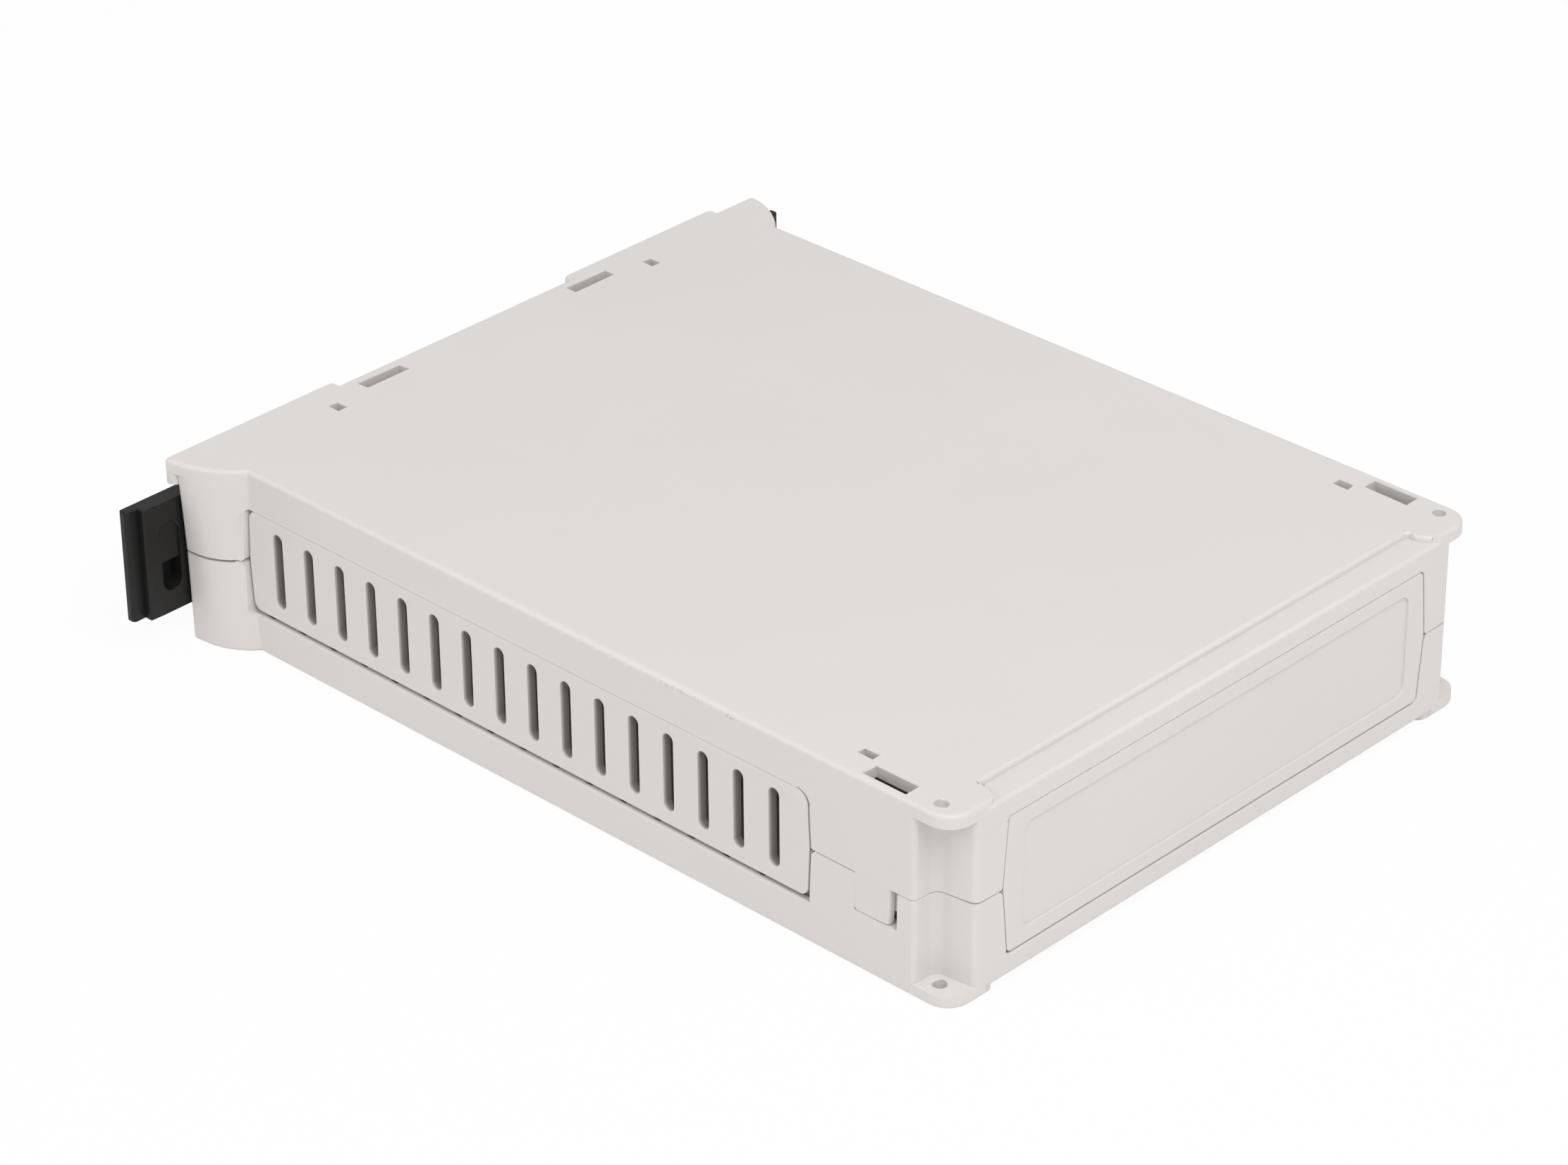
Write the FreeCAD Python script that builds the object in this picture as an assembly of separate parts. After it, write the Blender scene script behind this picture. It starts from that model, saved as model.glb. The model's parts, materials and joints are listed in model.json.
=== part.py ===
import FreeCAD, Part
import math
import os

Vec = FreeCAD.Vector

# Slim module case for a 35 mm top-hat rail: two half shells, a hexagonal front panel,
# two slotted vent panels and two black sliders that hook behind the rail's flanges.
# Millimetres. X = 0 is the plane where the rail's flanges seat and +X points to the front.
# Y = 0 is the rail's centre line. Z = 0 is the parting plane, halfway through the case.
# "Inset" is the distance inwards from a side wall's outer face, so it is negative outside.

# Overall size
case_length = 110.0
case_width = 82.0
case_height = 22.5
rail_offset = 3.0

# Walls and edges
plate_wall = 1.54
side_wall = 1.8
rail_zone_wall = 1.3
slider_zone_wall = 2.5
niche_wall = 1.5
edge_round = 0.5
upright_round = 0.6

# Rail and the lips that centre it
rail_width = 35.0
rail_side_play = 0.3
rail_flange = 1.0
lip_reach = 1.2
lip_front = 0.4
lip_height = 2.9
lip_round = 0.7
near_lip_length = 24.7
far_lip_length = 24.2
lower_lip_length = 17.0

# Corner pillars beside the rail. Each plan says how far a pillar stands out of the side wall
# at its rear corner, at its crown and halfway down its flank, and the X of the flank's foot.
pillar_rear = 0.3
pillar_crown = 1.7
pillar_corner_round = 0.55
pillar_core_length = 1.5
pillar_core_inset = -1.2
upper_plan = {"corner": 3.95, "crown": 3.75, "flank": 2.5, "foot": 7.7}
parting_plan = {"corner": 3.4, "crown": 3.27, "flank": 2.57, "foot": 7.25}
lower_plan = {"corner": 3.25, "crown": 3.1, "flank": 2.4, "foot": 8.1}

# Front ears, the ledge between them and the niche between upper and lower ear
ear_width = 7.4
ear_round = 2.9
ear_inner_round = 2.3
ledge_length = 3.1
ledge_drop = 0.74
ledge_edge_round = 0.45
niche_length = 4.8
niche_depth = 3.15
niche_slope = 0.55
niche_round = 1.3
niche_edge_round = 0.75
seal_hole_diameter = 1.5
seal_hole_from_front = 3.1
seal_hole_inset = 1.95

# Panels: a face flush with the shell and a wider flange held in a groove behind the wall
panel_face = 0.9
panel_flange = 1.2
flange_overlap = 1.1
groove_play = 0.1
flange_play = 0.35
retaining_wall = 1.05

# Vent panels
vent_rear = 7.2
vent_from_front = 18.9
vent_half_height = 6.15
vent_rise = 0.25
vent_slant = 0.3
vent_corner_round = 1.1
vent_crest_round = 1.7
vent_gap = 0.3
vent_web = 1.2
vent_rim = 0.95
window_corner_round = 0.4
slot_count = 16
slot_end_inset = 4.825
slot_width = 1.5
slot_length = 9.2
slot_rise = 0.1
sill_notch_width = 0.8
sill_notch_shift = 2.3
sill_round = 0.45
upper_relief = 0.4
lower_relief = 0.8

# Front panel
front_half_width = 33.35
front_half_height = 7.9
front_slant = 0.75
front_corner_round = 0.6
front_gap = 0.15
label_margin = 2.95
label_half_height = 6.1
label_round = 1.2
label_depth = 0.25

# Snap tabs of the upper shell and their recesses in the lower one
tab_from_front = 12.7
tab_length = 4.75
tab_taper = 0.25
tab_drop = 4.3
tab_round = 0.4
tab_gap = 0.06
tab_end_gap = 0.08
tab_front_gap = 0.85
tab_pocket_lead = 2.6
tab_nose = 0.75
tab_nose_height = 1.3
tab_bar_height = 1.4
rear_tab_length = 6.0
rear_tab_lead = 0.9

# Core windows in the plates
side_window_lead = 0.3
side_window_width = 1.9
rear_window_lead = 0.8
rear_window_length = 6.2
rear_window_width = 1.65
nub_window_length = 2.0
nub_window_width = 1.05
nub_window_depth = 1.65
front_nub_from_front = 15.45
rear_nub_inset = 16.0
rear_nub_length = 1.3

# Zones of the rear wall, measured inwards from each side, and the raised seat for the rail
rail_zone_inset = 21.0
slider_step_inset = 18.5
seat_half_width = 17.6
seat_rise = 0.1

# Sliders
slider_height = 13.7
slider_rear = -2.05
slider_front = 0.15
near_slider_reach = 10.2
far_slider_reach = 9.3
grip_length = 1.6
grip_thickness = 1.2
slider_round = 0.5
wing_length = 12.0
wing_thickness = 1.1
wing_half_height = 9.3
wing_play = 0.2
travel = 3.8
stop_gap = 0.1
groove_outer_inset = 1.5
arm_gap = 0.15
hook_overlap = 3.2
hook_open_gap = 0.6
hook_rear = -3.0
hook_play = 0.15
hook_chamfer = 1.2
pull_slot_width = 2.6
pull_slot_length = 8.4
pull_slot_from_tip = 4.95
pull_slot_depth = 0.2
pull_hole_length = 3.6
pull_hole_depth = 1.8

# Circuit board seats inside
board_thickness = 1.6
board_top = 4.4
nub_reach = 0.7
nub_height = 1.0
stop_width = 1.4
stop_length = 5.0
boss_diameter = 5.2
boss_pilot = 2.2
boss_from_ends = 14.0
boss_inset = 11.0
boss_top = -3.2
boss_rib_reach = 4.6
boss_rib_drop = 1.8
rib_thickness = 1.0
key_length = 9.0
key_height = 2.4
key_play = 0.12

near_face = rail_offset - case_width / 2.0
far_face = rail_offset + case_width / 2.0
half_height = case_height / 2.0
plate_inner = half_height - plate_wall
frame_inset = panel_face + 2 * groove_play + panel_flange + retaining_wall
front_inner = case_length - frame_inset
vent_front = case_length - vent_from_front
slot_pitch = (vent_front - vent_rear - 2 * slot_end_inset) / (slot_count - 1)
tab_rear = case_length - tab_from_front
front_nub_rear = case_length - front_nub_from_front
slider_zone_inner = pillar_rear + slider_zone_wall
rail_gap_half = rail_width / 2.0 + rail_side_play
groove_floor = slider_front + wing_thickness + wing_play
groove_inner_inset = groove_outer_inset + wing_length + travel + 2 * stop_gap
through = 5.0
sink = 0.2
NEAR = -1
FAR = 1


def side_y(side, inset):
    """Y of a point that lies a given inset from the near or the far side wall."""
    if side == NEAR:
        return near_face + inset
    return far_face - inset


def box(x0, x1, y0, y1, z0, z1):
    """Box between two corners given in any order."""
    low = Vec(min(x0, x1), min(y0, y1), min(z0, z1))
    return Part.makeBox(abs(x1 - x0), abs(y1 - y0), abs(z1 - z0), low)


def side_box(side, x0, x1, inset0, inset1, z0, z1):
    """Box whose Y limits are insets from one side wall."""
    return box(x0, x1, side_y(side, inset0), side_y(side, inset1), z0, z1)


def bend(point, back, ahead, radius):
    """Start, middle and end of the arc that rounds a corner between two neighbours."""
    if radius == 0.0:
        return point, None, point
    back = (back - point) / abs(back - point)
    ahead = (ahead - point) / abs(ahead - point)
    half = math.acos(max(-1.0, min(1.0, (back.conjugate() * ahead).real))) / 2.0
    inward = (back + ahead) / abs(back + ahead)
    reach = radius / math.tan(half)
    middle = point + inward * (radius / math.sin(half) - radius)
    return point + back * reach, middle, point + ahead * reach


def rounded_face(corners, to_space):
    """Face of a polygon whose corners (u, v, radius) are rounded by tangent arcs."""
    points = [complex(u, v) for u, v, radius in corners]
    bends = []
    for index, point in enumerate(points):
        ahead = points[(index + 1) % len(points)]
        bends.append(bend(point, points[index - 1], ahead, corners[index][2]))
    edges = []
    for index, (start, middle, end) in enumerate(bends):
        previous = bends[index - 1][2]
        if abs(start - previous) > 1e-6:
            edges.append(Part.LineSegment(to_space(previous), to_space(start)).toShape())
        if middle is not None:
            edges.append(Part.Arc(to_space(start), to_space(middle), to_space(end)).toShape())
    return Part.Face(Part.Wire(edges))


def prism_z(corners, z0, z1):
    """Rounded polygon in X and Y carried from z0 to z1."""
    face = rounded_face(corners, lambda p: Vec(p.real, p.imag, z0))
    return face.extrude(Vec(0, 0, z1 - z0))


def prism_y(corners, y0, y1):
    """Rounded polygon in X and Z carried from y0 to y1."""
    face = rounded_face(corners, lambda p: Vec(p.real, y0, p.imag))
    return face.extrude(Vec(0, y1 - y0, 0))


def prism_x(corners, x0, x1):
    """Rounded polygon in Y and Z carried from x0 to x1."""
    face = rounded_face(corners, lambda p: Vec(x0, p.real, p.imag))
    return face.extrude(Vec(x1 - x0, 0, 0))


def rectangle(u0, u1, v0, v1, radius):
    """Corners of a rectangle with one radius all round."""
    return [(u0, v0, radius), (u1, v0, radius), (u1, v1, radius), (u0, v1, radius)]


def hexagon(u0, u1, height, slant, radius, crest_radius):
    """Flat hexagon, widest at mid height; its last upper corner has a radius of its own."""
    return [
        (u0, 0.0, 0.0),
        (u0 + slant, -height, radius),
        (u1 - slant, -height, radius),
        (u1, 0.0, 0.0),
        (u1 - slant, height, crest_radius),
        (u0 + slant, height, radius),
    ]


def fuse_all(solids):
    """One shape from a list of solids that meet."""
    return solids[0].multiFuse(solids[1:]).removeSplitter()


def round_top(solid, radius):
    """Round every edge that lies in the highest plane of a slab."""
    top = solid.BoundBox.ZMax
    rim = [edge for edge in solid.Edges if edge.BoundBox.ZMin > top - 1e-4]
    return solid.makeFillet(radius, rim)


def pillar_wire(side, plan, rear, corner_round, z):
    """Plan of a corner pillar: rounded rear corner, crown strip and a flank down to the wall."""
    def at(point):
        return Vec(point.real, side_y(side, point.imag), z)

    crown = complex(pillar_crown, -plan["crown"])
    foot = complex(plan["foot"], 0.0)
    flank = complex((pillar_crown + plan["foot"]) / 2.0, -plan["flank"])
    base_foot = complex(plan["foot"], side_wall)
    base_rear = complex(rear, side_wall)
    corner = complex(rear, -plan["corner"])
    start, knee, end = bend(corner, base_rear, crown, corner_round)
    return Part.Wire([
        Part.Arc(at(start), at(knee), at(end)).toShape(),
        Part.LineSegment(at(end), at(crown)).toShape(),
        Part.Arc(at(crown), at(flank), at(foot)).toShape(),
        Part.LineSegment(at(foot), at(base_foot)).toShape(),
        Part.LineSegment(at(base_foot), at(base_rear)).toShape(),
        Part.LineSegment(at(base_rear), at(start)).toShape(),
    ])


def plate_plan(upper):
    """Plan of the pillars where they run into the plate."""
    return upper_plan if upper else lower_plan


def pillar(side, upper):
    """Corner pillar of one half shell, drafted between the parting plane and the plate."""
    foot = pillar_wire(side, parting_plan, pillar_rear, pillar_corner_round, 0.0)
    head = pillar_wire(side, plate_plan(upper), pillar_rear, pillar_corner_round, plate_inner)
    return Part.makeLoft([foot, head], True, True)


def reaches_lip(side, upper):
    """Whether a pillar's end in the plate runs back to the rail lip and ends flush with it."""
    return upper and side == NEAR


def plate_slab(upper):
    """Large outer plate with its pillar ends, ear corners and rounded rim."""
    plan = plate_plan(upper)
    rear = 0.0 if upper else pillar_rear
    outline = [
        (plan["foot"], near_face, 0.0),
        (case_length, near_face, ear_round),
        (case_length, far_face, ear_round),
        (plan["foot"], far_face, 0.0),
        (rear, side_y(FAR, side_wall), 0.0),
        (rear, side_y(NEAR, side_wall), 0.0),
    ]
    solids = [prism_z(outline, plate_inner, half_height)]
    for side in (NEAR, FAR):
        if reaches_lip(side, upper):
            end_plan = dict(plan, corner=rail_gap_half + near_lip_length + near_face)
            wire = pillar_wire(side, end_plan, -lip_reach, lip_round, plate_inner)
        else:
            wire = pillar_wire(side, plan, rear, pillar_corner_round, plate_inner)
        solids.append(Part.Face(wire).extrude(Vec(0, 0, plate_wall)))
        solids.append(lip_cap(side, upper))
    return round_top(fuse_all(solids), edge_round)


def seat_edge():
    """Edge of the lower plate between the lips, brought out to the rail's seat."""
    front = pillar_rear + lip_round + edge_round
    end = rail_gap_half + lip_round + edge_round
    edge = rectangle(0.0, front, -end, end, lip_round)
    return round_top(prism_z(edge, plate_inner, half_height), edge_round)


def lip_limits(side, upper):
    """Y limits of one rail lip, from the rail gap outwards."""
    length = lower_lip_length
    if upper:
        length = near_lip_length if side == NEAR else far_lip_length
    return side * rail_gap_half, side * (rail_gap_half + length)


def lip_cap(side, upper):
    """Part of a rail lip that lies in the plate, with its rear corners rounded."""
    inner, outer = lip_limits(side, upper)
    root = pillar_rear + edge_round
    outer_round = lip_round
    if reaches_lip(side, upper):
        outer = side_y(side, 0.0)
        outer_round = 0.0
    corners = [
        (-lip_reach, inner, lip_round),
        (root, inner, 0.0),
        (root, outer, 0.0),
        (-lip_reach, outer, outer_round),
    ]
    return prism_z(corners, plate_inner, half_height)


def lip_bar(side, upper):
    """Rounded bar of a rail lip, which hangs down in front of the slider."""
    inner, outer = lip_limits(side, upper)
    outer_front = outer
    if reaches_lip(side, upper):
        share = (lip_front + lip_reach) / (pillar_crown + lip_reach)
        outer_front += share * (side_y(side, -plate_plan(upper)["crown"]) - outer)
    bar = [
        (-lip_reach, inner, lip_round),
        (lip_front, inner, lip_round),
        (lip_front, outer_front, lip_round),
        (-lip_reach, outer, lip_round),
    ]
    return prism_z(bar, half_height - lip_height, plate_inner)


def body_block():
    """Walls of one half, solid, with the niches at the front and the step for the sliders."""
    corners = [
        (case_length - niche_length, 0.0, upright_round),
        (case_length - niche_length, niche_depth, niche_round),
        (case_length, niche_depth + niche_slope, niche_edge_round),
    ]
    outline = [(x, side_y(NEAR, inset), radius) for x, inset, radius in corners]
    outline += [(x, side_y(FAR, inset), radius) for x, inset, radius in reversed(corners)]
    outline += [
        (pillar_rear, far_face, 0.0),
        (pillar_rear, side_y(FAR, slider_step_inset), 0.0),
        (seat_rise, side_y(FAR, slider_step_inset), 0.0),
        (seat_rise, seat_half_width, 0.0),
        (0.0, seat_half_width, 0.0),
        (0.0, -seat_half_width, 0.0),
        (seat_rise, -seat_half_width, 0.0),
        (seat_rise, side_y(NEAR, slider_step_inset), 0.0),
        (pillar_rear, side_y(NEAR, slider_step_inset), 0.0),
        (pillar_rear, near_face, 0.0),
    ]
    return prism_z(outline, 0.0, plate_inner)


def cavity():
    """Hollow of one half: the board space, the tab pockets and the pillar cores."""
    top = plate_inner
    wall_x = case_length - niche_length - niche_wall
    corner_inset = niche_depth + niche_slope + niche_wall
    spaces = [
        box(slider_zone_inner, wall_x, side_y(NEAR, frame_inset), side_y(FAR, frame_inset), 0.0, top),
        box(wall_x, front_inner, side_y(NEAR, corner_inset), side_y(FAR, corner_inset), 0.0, top),
        box(
            rail_zone_wall,
            slider_zone_inner,
            side_y(NEAR, rail_zone_inset),
            side_y(FAR, rail_zone_inset),
            0.0,
            top,
        ),
    ]
    for side in (NEAR, FAR):
        pocket_rear = vent_front + vent_gap + flange_overlap + tab_pocket_lead
        spaces.append(side_box(side, pocket_rear, wall_x, side_wall, frame_inset, 0.0, top))
        core_front = slider_zone_inner + pillar_core_length
        spaces.append(
            side_box(side, slider_zone_inner, core_front, pillar_core_inset, frame_inset, 0.0, top)
        )
    return spaces


def vent_layer(side, grow, radius, crest_radius, inset0, inset1):
    """Outline of a vent panel, grown all round and carried between two insets."""
    rear = vent_rear - grow
    front = vent_front + grow
    shape = hexagon(rear, front, vent_half_height + grow, vent_slant, radius, crest_radius)
    return prism_y(shape, side_y(side, inset0), side_y(side, inset1))


def front_layer(grow, x0, x1):
    """Outline of the front panel, grown all round and carried from x0 to x1."""
    shape = hexagon(
        rail_offset - front_half_width - grow,
        rail_offset + front_half_width + grow,
        front_half_height + grow,
        front_slant,
        front_corner_round,
        front_corner_round,
    )
    return prism_x(shape, x0, x1)


def corner_sliver(square, run, to_space):
    """Face between a square corner and the arc that rounds it, run sideways and upwards."""
    rise = abs(run)
    short = 1.0 - math.sqrt(0.5)
    start = square + run
    end = square + complex(0.0, rise)
    middle = square + complex(run * short, rise * short)
    return Part.Face(Part.Wire([
        Part.LineSegment(to_space(end), to_space(square)).toShape(),
        Part.LineSegment(to_space(square), to_space(start)).toShape(),
        Part.Arc(to_space(start), to_space(middle), to_space(end)).toShape(),
    ]))


def vent_opening(side, upper, relief):
    """Window for a vent panel: opening, flange groove and opening of the retaining wall."""
    groove_end = panel_face + 2 * groove_play + panel_flange
    groove_grow = vent_gap + flange_overlap
    small = window_corner_round
    crest = vent_crest_round if upper else small
    cuts = [
        vent_layer(side, vent_gap, small, crest, -through, panel_face),
        vent_layer(side, groove_grow, vent_corner_round, vent_corner_round, panel_face, groove_end),
        vent_layer(side, vent_gap, small, crest, groove_end, frame_inset + through),
    ]
    outer = side_y(side, -through)
    depth = side_y(side, panel_face) - outer
    for place, run in ((vent_rear - vent_gap, -relief), (vent_front + vent_gap, relief)):
        face = corner_sliver(complex(place, 0.0), run, lambda p: Vec(p.real, outer, p.imag))
        cuts.append(face.extrude(Vec(0, depth, 0)))
    return cuts


def sill_rounding(side):
    """Cutter that rounds the outer edge of the window's sill, drawn above the parting plane."""
    rear = vent_rear + vent_slant + vent_corner_round
    front = vent_front - vent_slant - vent_corner_round
    corner = complex(side_y(side, 0.0), vent_half_height + vent_gap)
    face = corner_sliver(corner, -side * sill_round, lambda p: Vec(rear, p.real, p.imag))
    return face.extrude(Vec(front - rear, 0, 0))


def front_opening(relief):
    """Window for the front panel, built like the vent windows."""
    groove_front = case_length - panel_face
    groove_rear = groove_front - 2 * groove_play - panel_flange
    cuts = [
        front_layer(front_gap, groove_front, case_length + through),
        front_layer(front_gap + flange_overlap, groove_rear, groove_front),
        front_layer(front_gap, front_inner - through, groove_rear),
    ]
    for end in (NEAR, FAR):
        corner = complex(rail_offset + end * (front_half_width + front_gap), 0.0)
        face = corner_sliver(corner, end * relief, lambda p: Vec(groove_front, p.real, p.imag))
        cuts.append(face.extrude(Vec(panel_face + through, 0, 0)))
    return cuts


def ledge_cut():
    """Shallow step along the front edge of a plate, ending in the round of each ear."""
    floor = half_height - ledge_drop
    start = case_length - ledge_length
    profile = [
        (start, floor, 0.0),
        (case_length, floor, ledge_edge_round),
        (case_length, floor - through / 2.0, 0.0),
        (case_length + through, floor - through / 2.0, 0.0),
        (case_length + through, half_height + through, 0.0),
        (start, half_height + through, 0.0),
    ]
    cutter = prism_y(profile, near_face - through, far_face + through)
    ears = []
    for side in (NEAR, FAR):
        ear = [
            (start - through, side_y(side, -2 * through), 0.0),
            (case_length, side_y(side, -2 * through), 0.0),
            (case_length, side_y(side, ear_width), ear_inner_round),
            (start - through, side_y(side, ear_width), 0.0),
        ]
        ears.append(prism_z(ear, floor - through, half_height + 2 * through))
    return cutter.cut(ears[0]).cut(ears[1])


def slider_groove(side):
    """Deep groove in the rear wall where a slider's wings run between two stops."""
    return side_box(
        side,
        -through,
        groove_floor,
        groove_outer_inset,
        groove_inner_inset,
        0.0,
        wing_half_height + wing_play,
    )


def seal_hole(side):
    """Hole through an ear for a sealing wire."""
    centre = Vec(case_length - seal_hole_from_front, side_y(side, seal_hole_inset), -through)
    return Part.makeCylinder(seal_hole_diameter / 2.0, half_height + 2 * through, centre)


def plate_windows(side, upper):
    """Rectangular core windows in a plate, beside the walls that carry tabs and nubs."""
    z0, z1 = plate_inner - plate_wall, half_height + through
    front = tab_rear + side_window_lead
    long_side = side_box(
        side,
        front,
        front + tab_length + tab_front_gap,
        panel_face,
        panel_face + side_window_width,
        0.0 if upper else z0,
        z1,
    )
    inset = rail_zone_inset + rear_window_lead
    long_rear = side_box(
        side,
        rail_zone_wall,
        rail_zone_wall + rear_window_width,
        inset,
        inset + rear_window_length,
        z0,
        z1,
    )
    small_side = side_box(
        side,
        front_nub_rear,
        front_nub_rear + nub_window_length,
        frame_inset,
        frame_inset + nub_window_width,
        z0,
        z1,
    )
    small_rear = side_box(
        side,
        slider_zone_inner + groove_play,
        slider_zone_inner + groove_play + nub_window_depth,
        rear_nub_inset,
        rear_nub_inset + rear_nub_length,
        z0,
        z1,
    )
    return [long_side, long_rear, small_side, small_rear]


def side_tab(side):
    """Snap arm at a side wall, with a wedge nose on its inner face."""
    end = -tab_drop
    front = tab_rear + tab_length
    outer = side_y(side, 0.0)
    profile = [
        (tab_rear, end, tab_round),
        (front - tab_taper, end, 0.0),
        (front, 0.0, 0.0),
        (front, tab_round, 0.0),
        (tab_rear, tab_round, 0.0),
    ]
    arm = prism_y(profile, outer, side_y(side, panel_face))
    upright = [
        edge
        for edge in arm.Edges
        if edge.BoundBox.XMin > front - tab_taper - sink
        and edge.BoundBox.ZLength > tab_drop / 2.0
        and abs(edge.CenterOfMass.y - outer) < 1e-4
    ]
    nose = [
        (side_y(side, panel_face / 2.0), end, 0.0),
        (side_y(side, panel_face), end, 0.0),
        (side_y(side, panel_face + tab_nose), end + tab_nose_height / 2.0, 0.0),
        (side_y(side, panel_face + tab_nose), end + tab_nose_height, 0.0),
        (side_y(side, panel_face / 2.0), end + tab_nose_height, 0.0),
    ]
    nose_rear = tab_rear + tab_round
    nose_front = front - tab_taper - tab_round
    return [arm.makeFillet(tab_round, upright), prism_x(nose, nose_rear, nose_front)]


def side_tab_recess(side):
    """Recess for a side tab, and the pocket that its nose snaps into."""
    rear = tab_rear - tab_gap
    front = tab_rear + tab_length + tab_front_gap
    recess = side_box(side, rear, front, -through, panel_face + tab_gap, -tab_drop - tab_end_gap, 0.0)
    pocket = side_box(
        side,
        rear,
        tab_rear + tab_length + tab_gap,
        panel_face,
        frame_inset,
        -tab_drop - tab_end_gap,
        -tab_drop + tab_nose_height + tab_gap,
    )
    return [recess, pocket]


def rear_tab(side):
    """Snap arm of the thin rear wall, with its nose on the inner face."""
    inset = rail_zone_inset + rear_tab_lead
    end = -tab_drop
    arm = [
        (side_y(side, inset), tab_round, 0.0),
        (side_y(side, inset), end, tab_round),
        (side_y(side, inset + rear_tab_length), end, tab_round),
        (side_y(side, inset + rear_tab_length), tab_round, 0.0),
    ]
    nose = [
        (rail_zone_wall / 2.0, end, 0.0),
        (rail_zone_wall, end, 0.0),
        (rail_zone_wall + tab_nose, end + tab_nose_height / 2.0, 0.0),
        (rail_zone_wall + tab_nose, end + tab_nose_height, 0.0),
        (rail_zone_wall / 2.0, end + tab_nose_height, 0.0),
    ]
    low = side_y(side, inset + tab_round)
    high = side_y(side, inset + rear_tab_length - tab_round)
    return [prism_x(arm, 0.0, rail_zone_wall), prism_y(nose, low, high)]


def rear_tab_recess(side):
    """Slot in the lower rear wall for a rear tab."""
    inset = rail_zone_inset + rear_tab_lead
    return side_box(
        side,
        -through,
        rail_zone_wall + tab_gap,
        inset - tab_gap,
        inset + rear_tab_length + tab_gap,
        -tab_drop - tab_end_gap,
        0.0,
    )


def rear_catch(side):
    """Frame on the lower shell with the bar that the rear tab's nose snaps under."""
    inset = rail_zone_inset + rear_tab_lead - tab_gap
    length = rear_tab_length + 2 * tab_gap
    back = rail_zone_wall
    front = rail_zone_wall + tab_gap + tab_nose + rib_thickness
    bar_low = -tab_drop + tab_nose_height + tab_gap
    frame = side_box(
        side,
        back,
        front,
        inset - rail_zone_wall / 2.0,
        inset + length + rib_thickness,
        -plate_inner,
        bar_low + tab_bar_height,
    )
    reach = inset + length
    pocket = side_box(side, back - sink, front - rib_thickness, inset, reach, -plate_inner, bar_low)
    relief = side_box(side, back - sink, back + tab_gap, inset, reach, bar_low - sink, 0.0)
    return frame.cut(pocket).cut(relief)


def board_nubs(side):
    """Wedge nubs on the side and rear inner walls that hold the board's edge from below."""
    high = board_top - board_thickness
    low = high - nub_height
    wedge = [
        (side_y(side, frame_inset - sink), low, 0.0),
        (side_y(side, frame_inset), low, 0.0),
        (side_y(side, frame_inset + nub_reach), high - nub_height / 3.0, 0.0),
        (side_y(side, frame_inset + nub_reach), high, 0.0),
        (side_y(side, frame_inset - sink), high, 0.0),
    ]
    back = [
        (slider_zone_inner - sink, low, 0.0),
        (slider_zone_inner, low, 0.0),
        (slider_zone_inner + nub_reach, high - nub_height / 3.0, 0.0),
        (slider_zone_inner + nub_reach, high, 0.0),
        (slider_zone_inner - sink, high, 0.0),
    ]
    rear_end = side_y(side, rear_nub_inset + rear_nub_length)
    return [
        prism_x(wedge, front_nub_rear, front_nub_rear + nub_window_length),
        prism_y(back, side_y(side, rear_nub_inset), rear_end),
    ]


def board_stops(side):
    """Ribs under the upper plate that the board bears against."""
    solids = []
    x_places = (slider_zone_inner + stop_length, front_nub_rear - 2 * stop_length)
    for x in x_places:
        root = frame_inset - sink
        end = frame_inset + stop_length
        solids.append(side_box(side, x, x + stop_width, root, end, board_top, plate_inner))
        solids.append(
            side_box(side, x, x + stop_length, end - stop_width, end, board_top, plate_inner)
        )
    return solids


def board_bosses(side):
    """Screw bosses of the lower shell, each with two ribs and a blind pilot hole."""
    solids = []
    for x in (boss_from_ends, case_length - boss_from_ends):
        y = side_y(side, boss_inset)
        base = Vec(x, y, -plate_inner)
        height = boss_top + plate_inner
        boss = Part.makeCylinder(boss_diameter / 2.0, height, base)
        reach = boss_rib_reach
        half = rib_thickness / 2.0
        rib_top = boss_top - boss_rib_drop
        rib_x = box(x - reach, x + reach, y - half, y + half, -plate_inner, rib_top)
        rib_y = box(x - half, x + half, y - reach, y + reach, -plate_inner, rib_top)
        solid = boss.fuse(rib_x).fuse(rib_y)
        pilot = Part.makeCylinder(boss_pilot / 2.0, height, base)
        solids.append(solid.cut(pilot).removeSplitter())
    return solids


def sill_notches(side):
    """Small notches in the lower window sill, one beside each slot of the vent panel."""
    cuts = []
    for x in slot_places():
        start = x - sill_notch_shift - sill_notch_width / 2.0
        cuts.append(
            side_box(
                side,
                start,
                start + sill_notch_width,
                panel_face / 2.0,
                panel_face,
                -vent_half_height - vent_gap - panel_face / 2.0,
                -vent_half_height,
            )
        )
    return cuts


def rear_key(play):
    """Locating key of the lower rear wall, which stands into a gap of the upper one."""
    half = key_length / 2.0 + play
    return box(0.0, rail_zone_wall, -half, half, -tab_round, key_height + play)


def shell_blank(upper):
    """One half shell with its walls, pillars, lips and windows, drawn above the parting plane."""
    solids = [plate_slab(upper), body_block()]
    if not upper:
        solids.append(seat_edge())
    for side in (NEAR, FAR):
        solids.append(pillar(side, upper))
        solids.append(lip_bar(side, upper))
    relief = upper_relief if upper else lower_relief
    rooms = cavity()
    cuts = front_opening(relief) + [ledge_cut()]
    for side in (NEAR, FAR):
        cuts += vent_opening(side, upper, relief)
        cuts += plate_windows(side, upper)
        cuts.append(slider_groove(side))
        cuts.append(seal_hole(side))
        if not upper:
            cuts.append(sill_rounding(side))
    return fuse_all(solids).cut(fuse_all(rooms)).cut(fuse_all(cuts))


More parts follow.
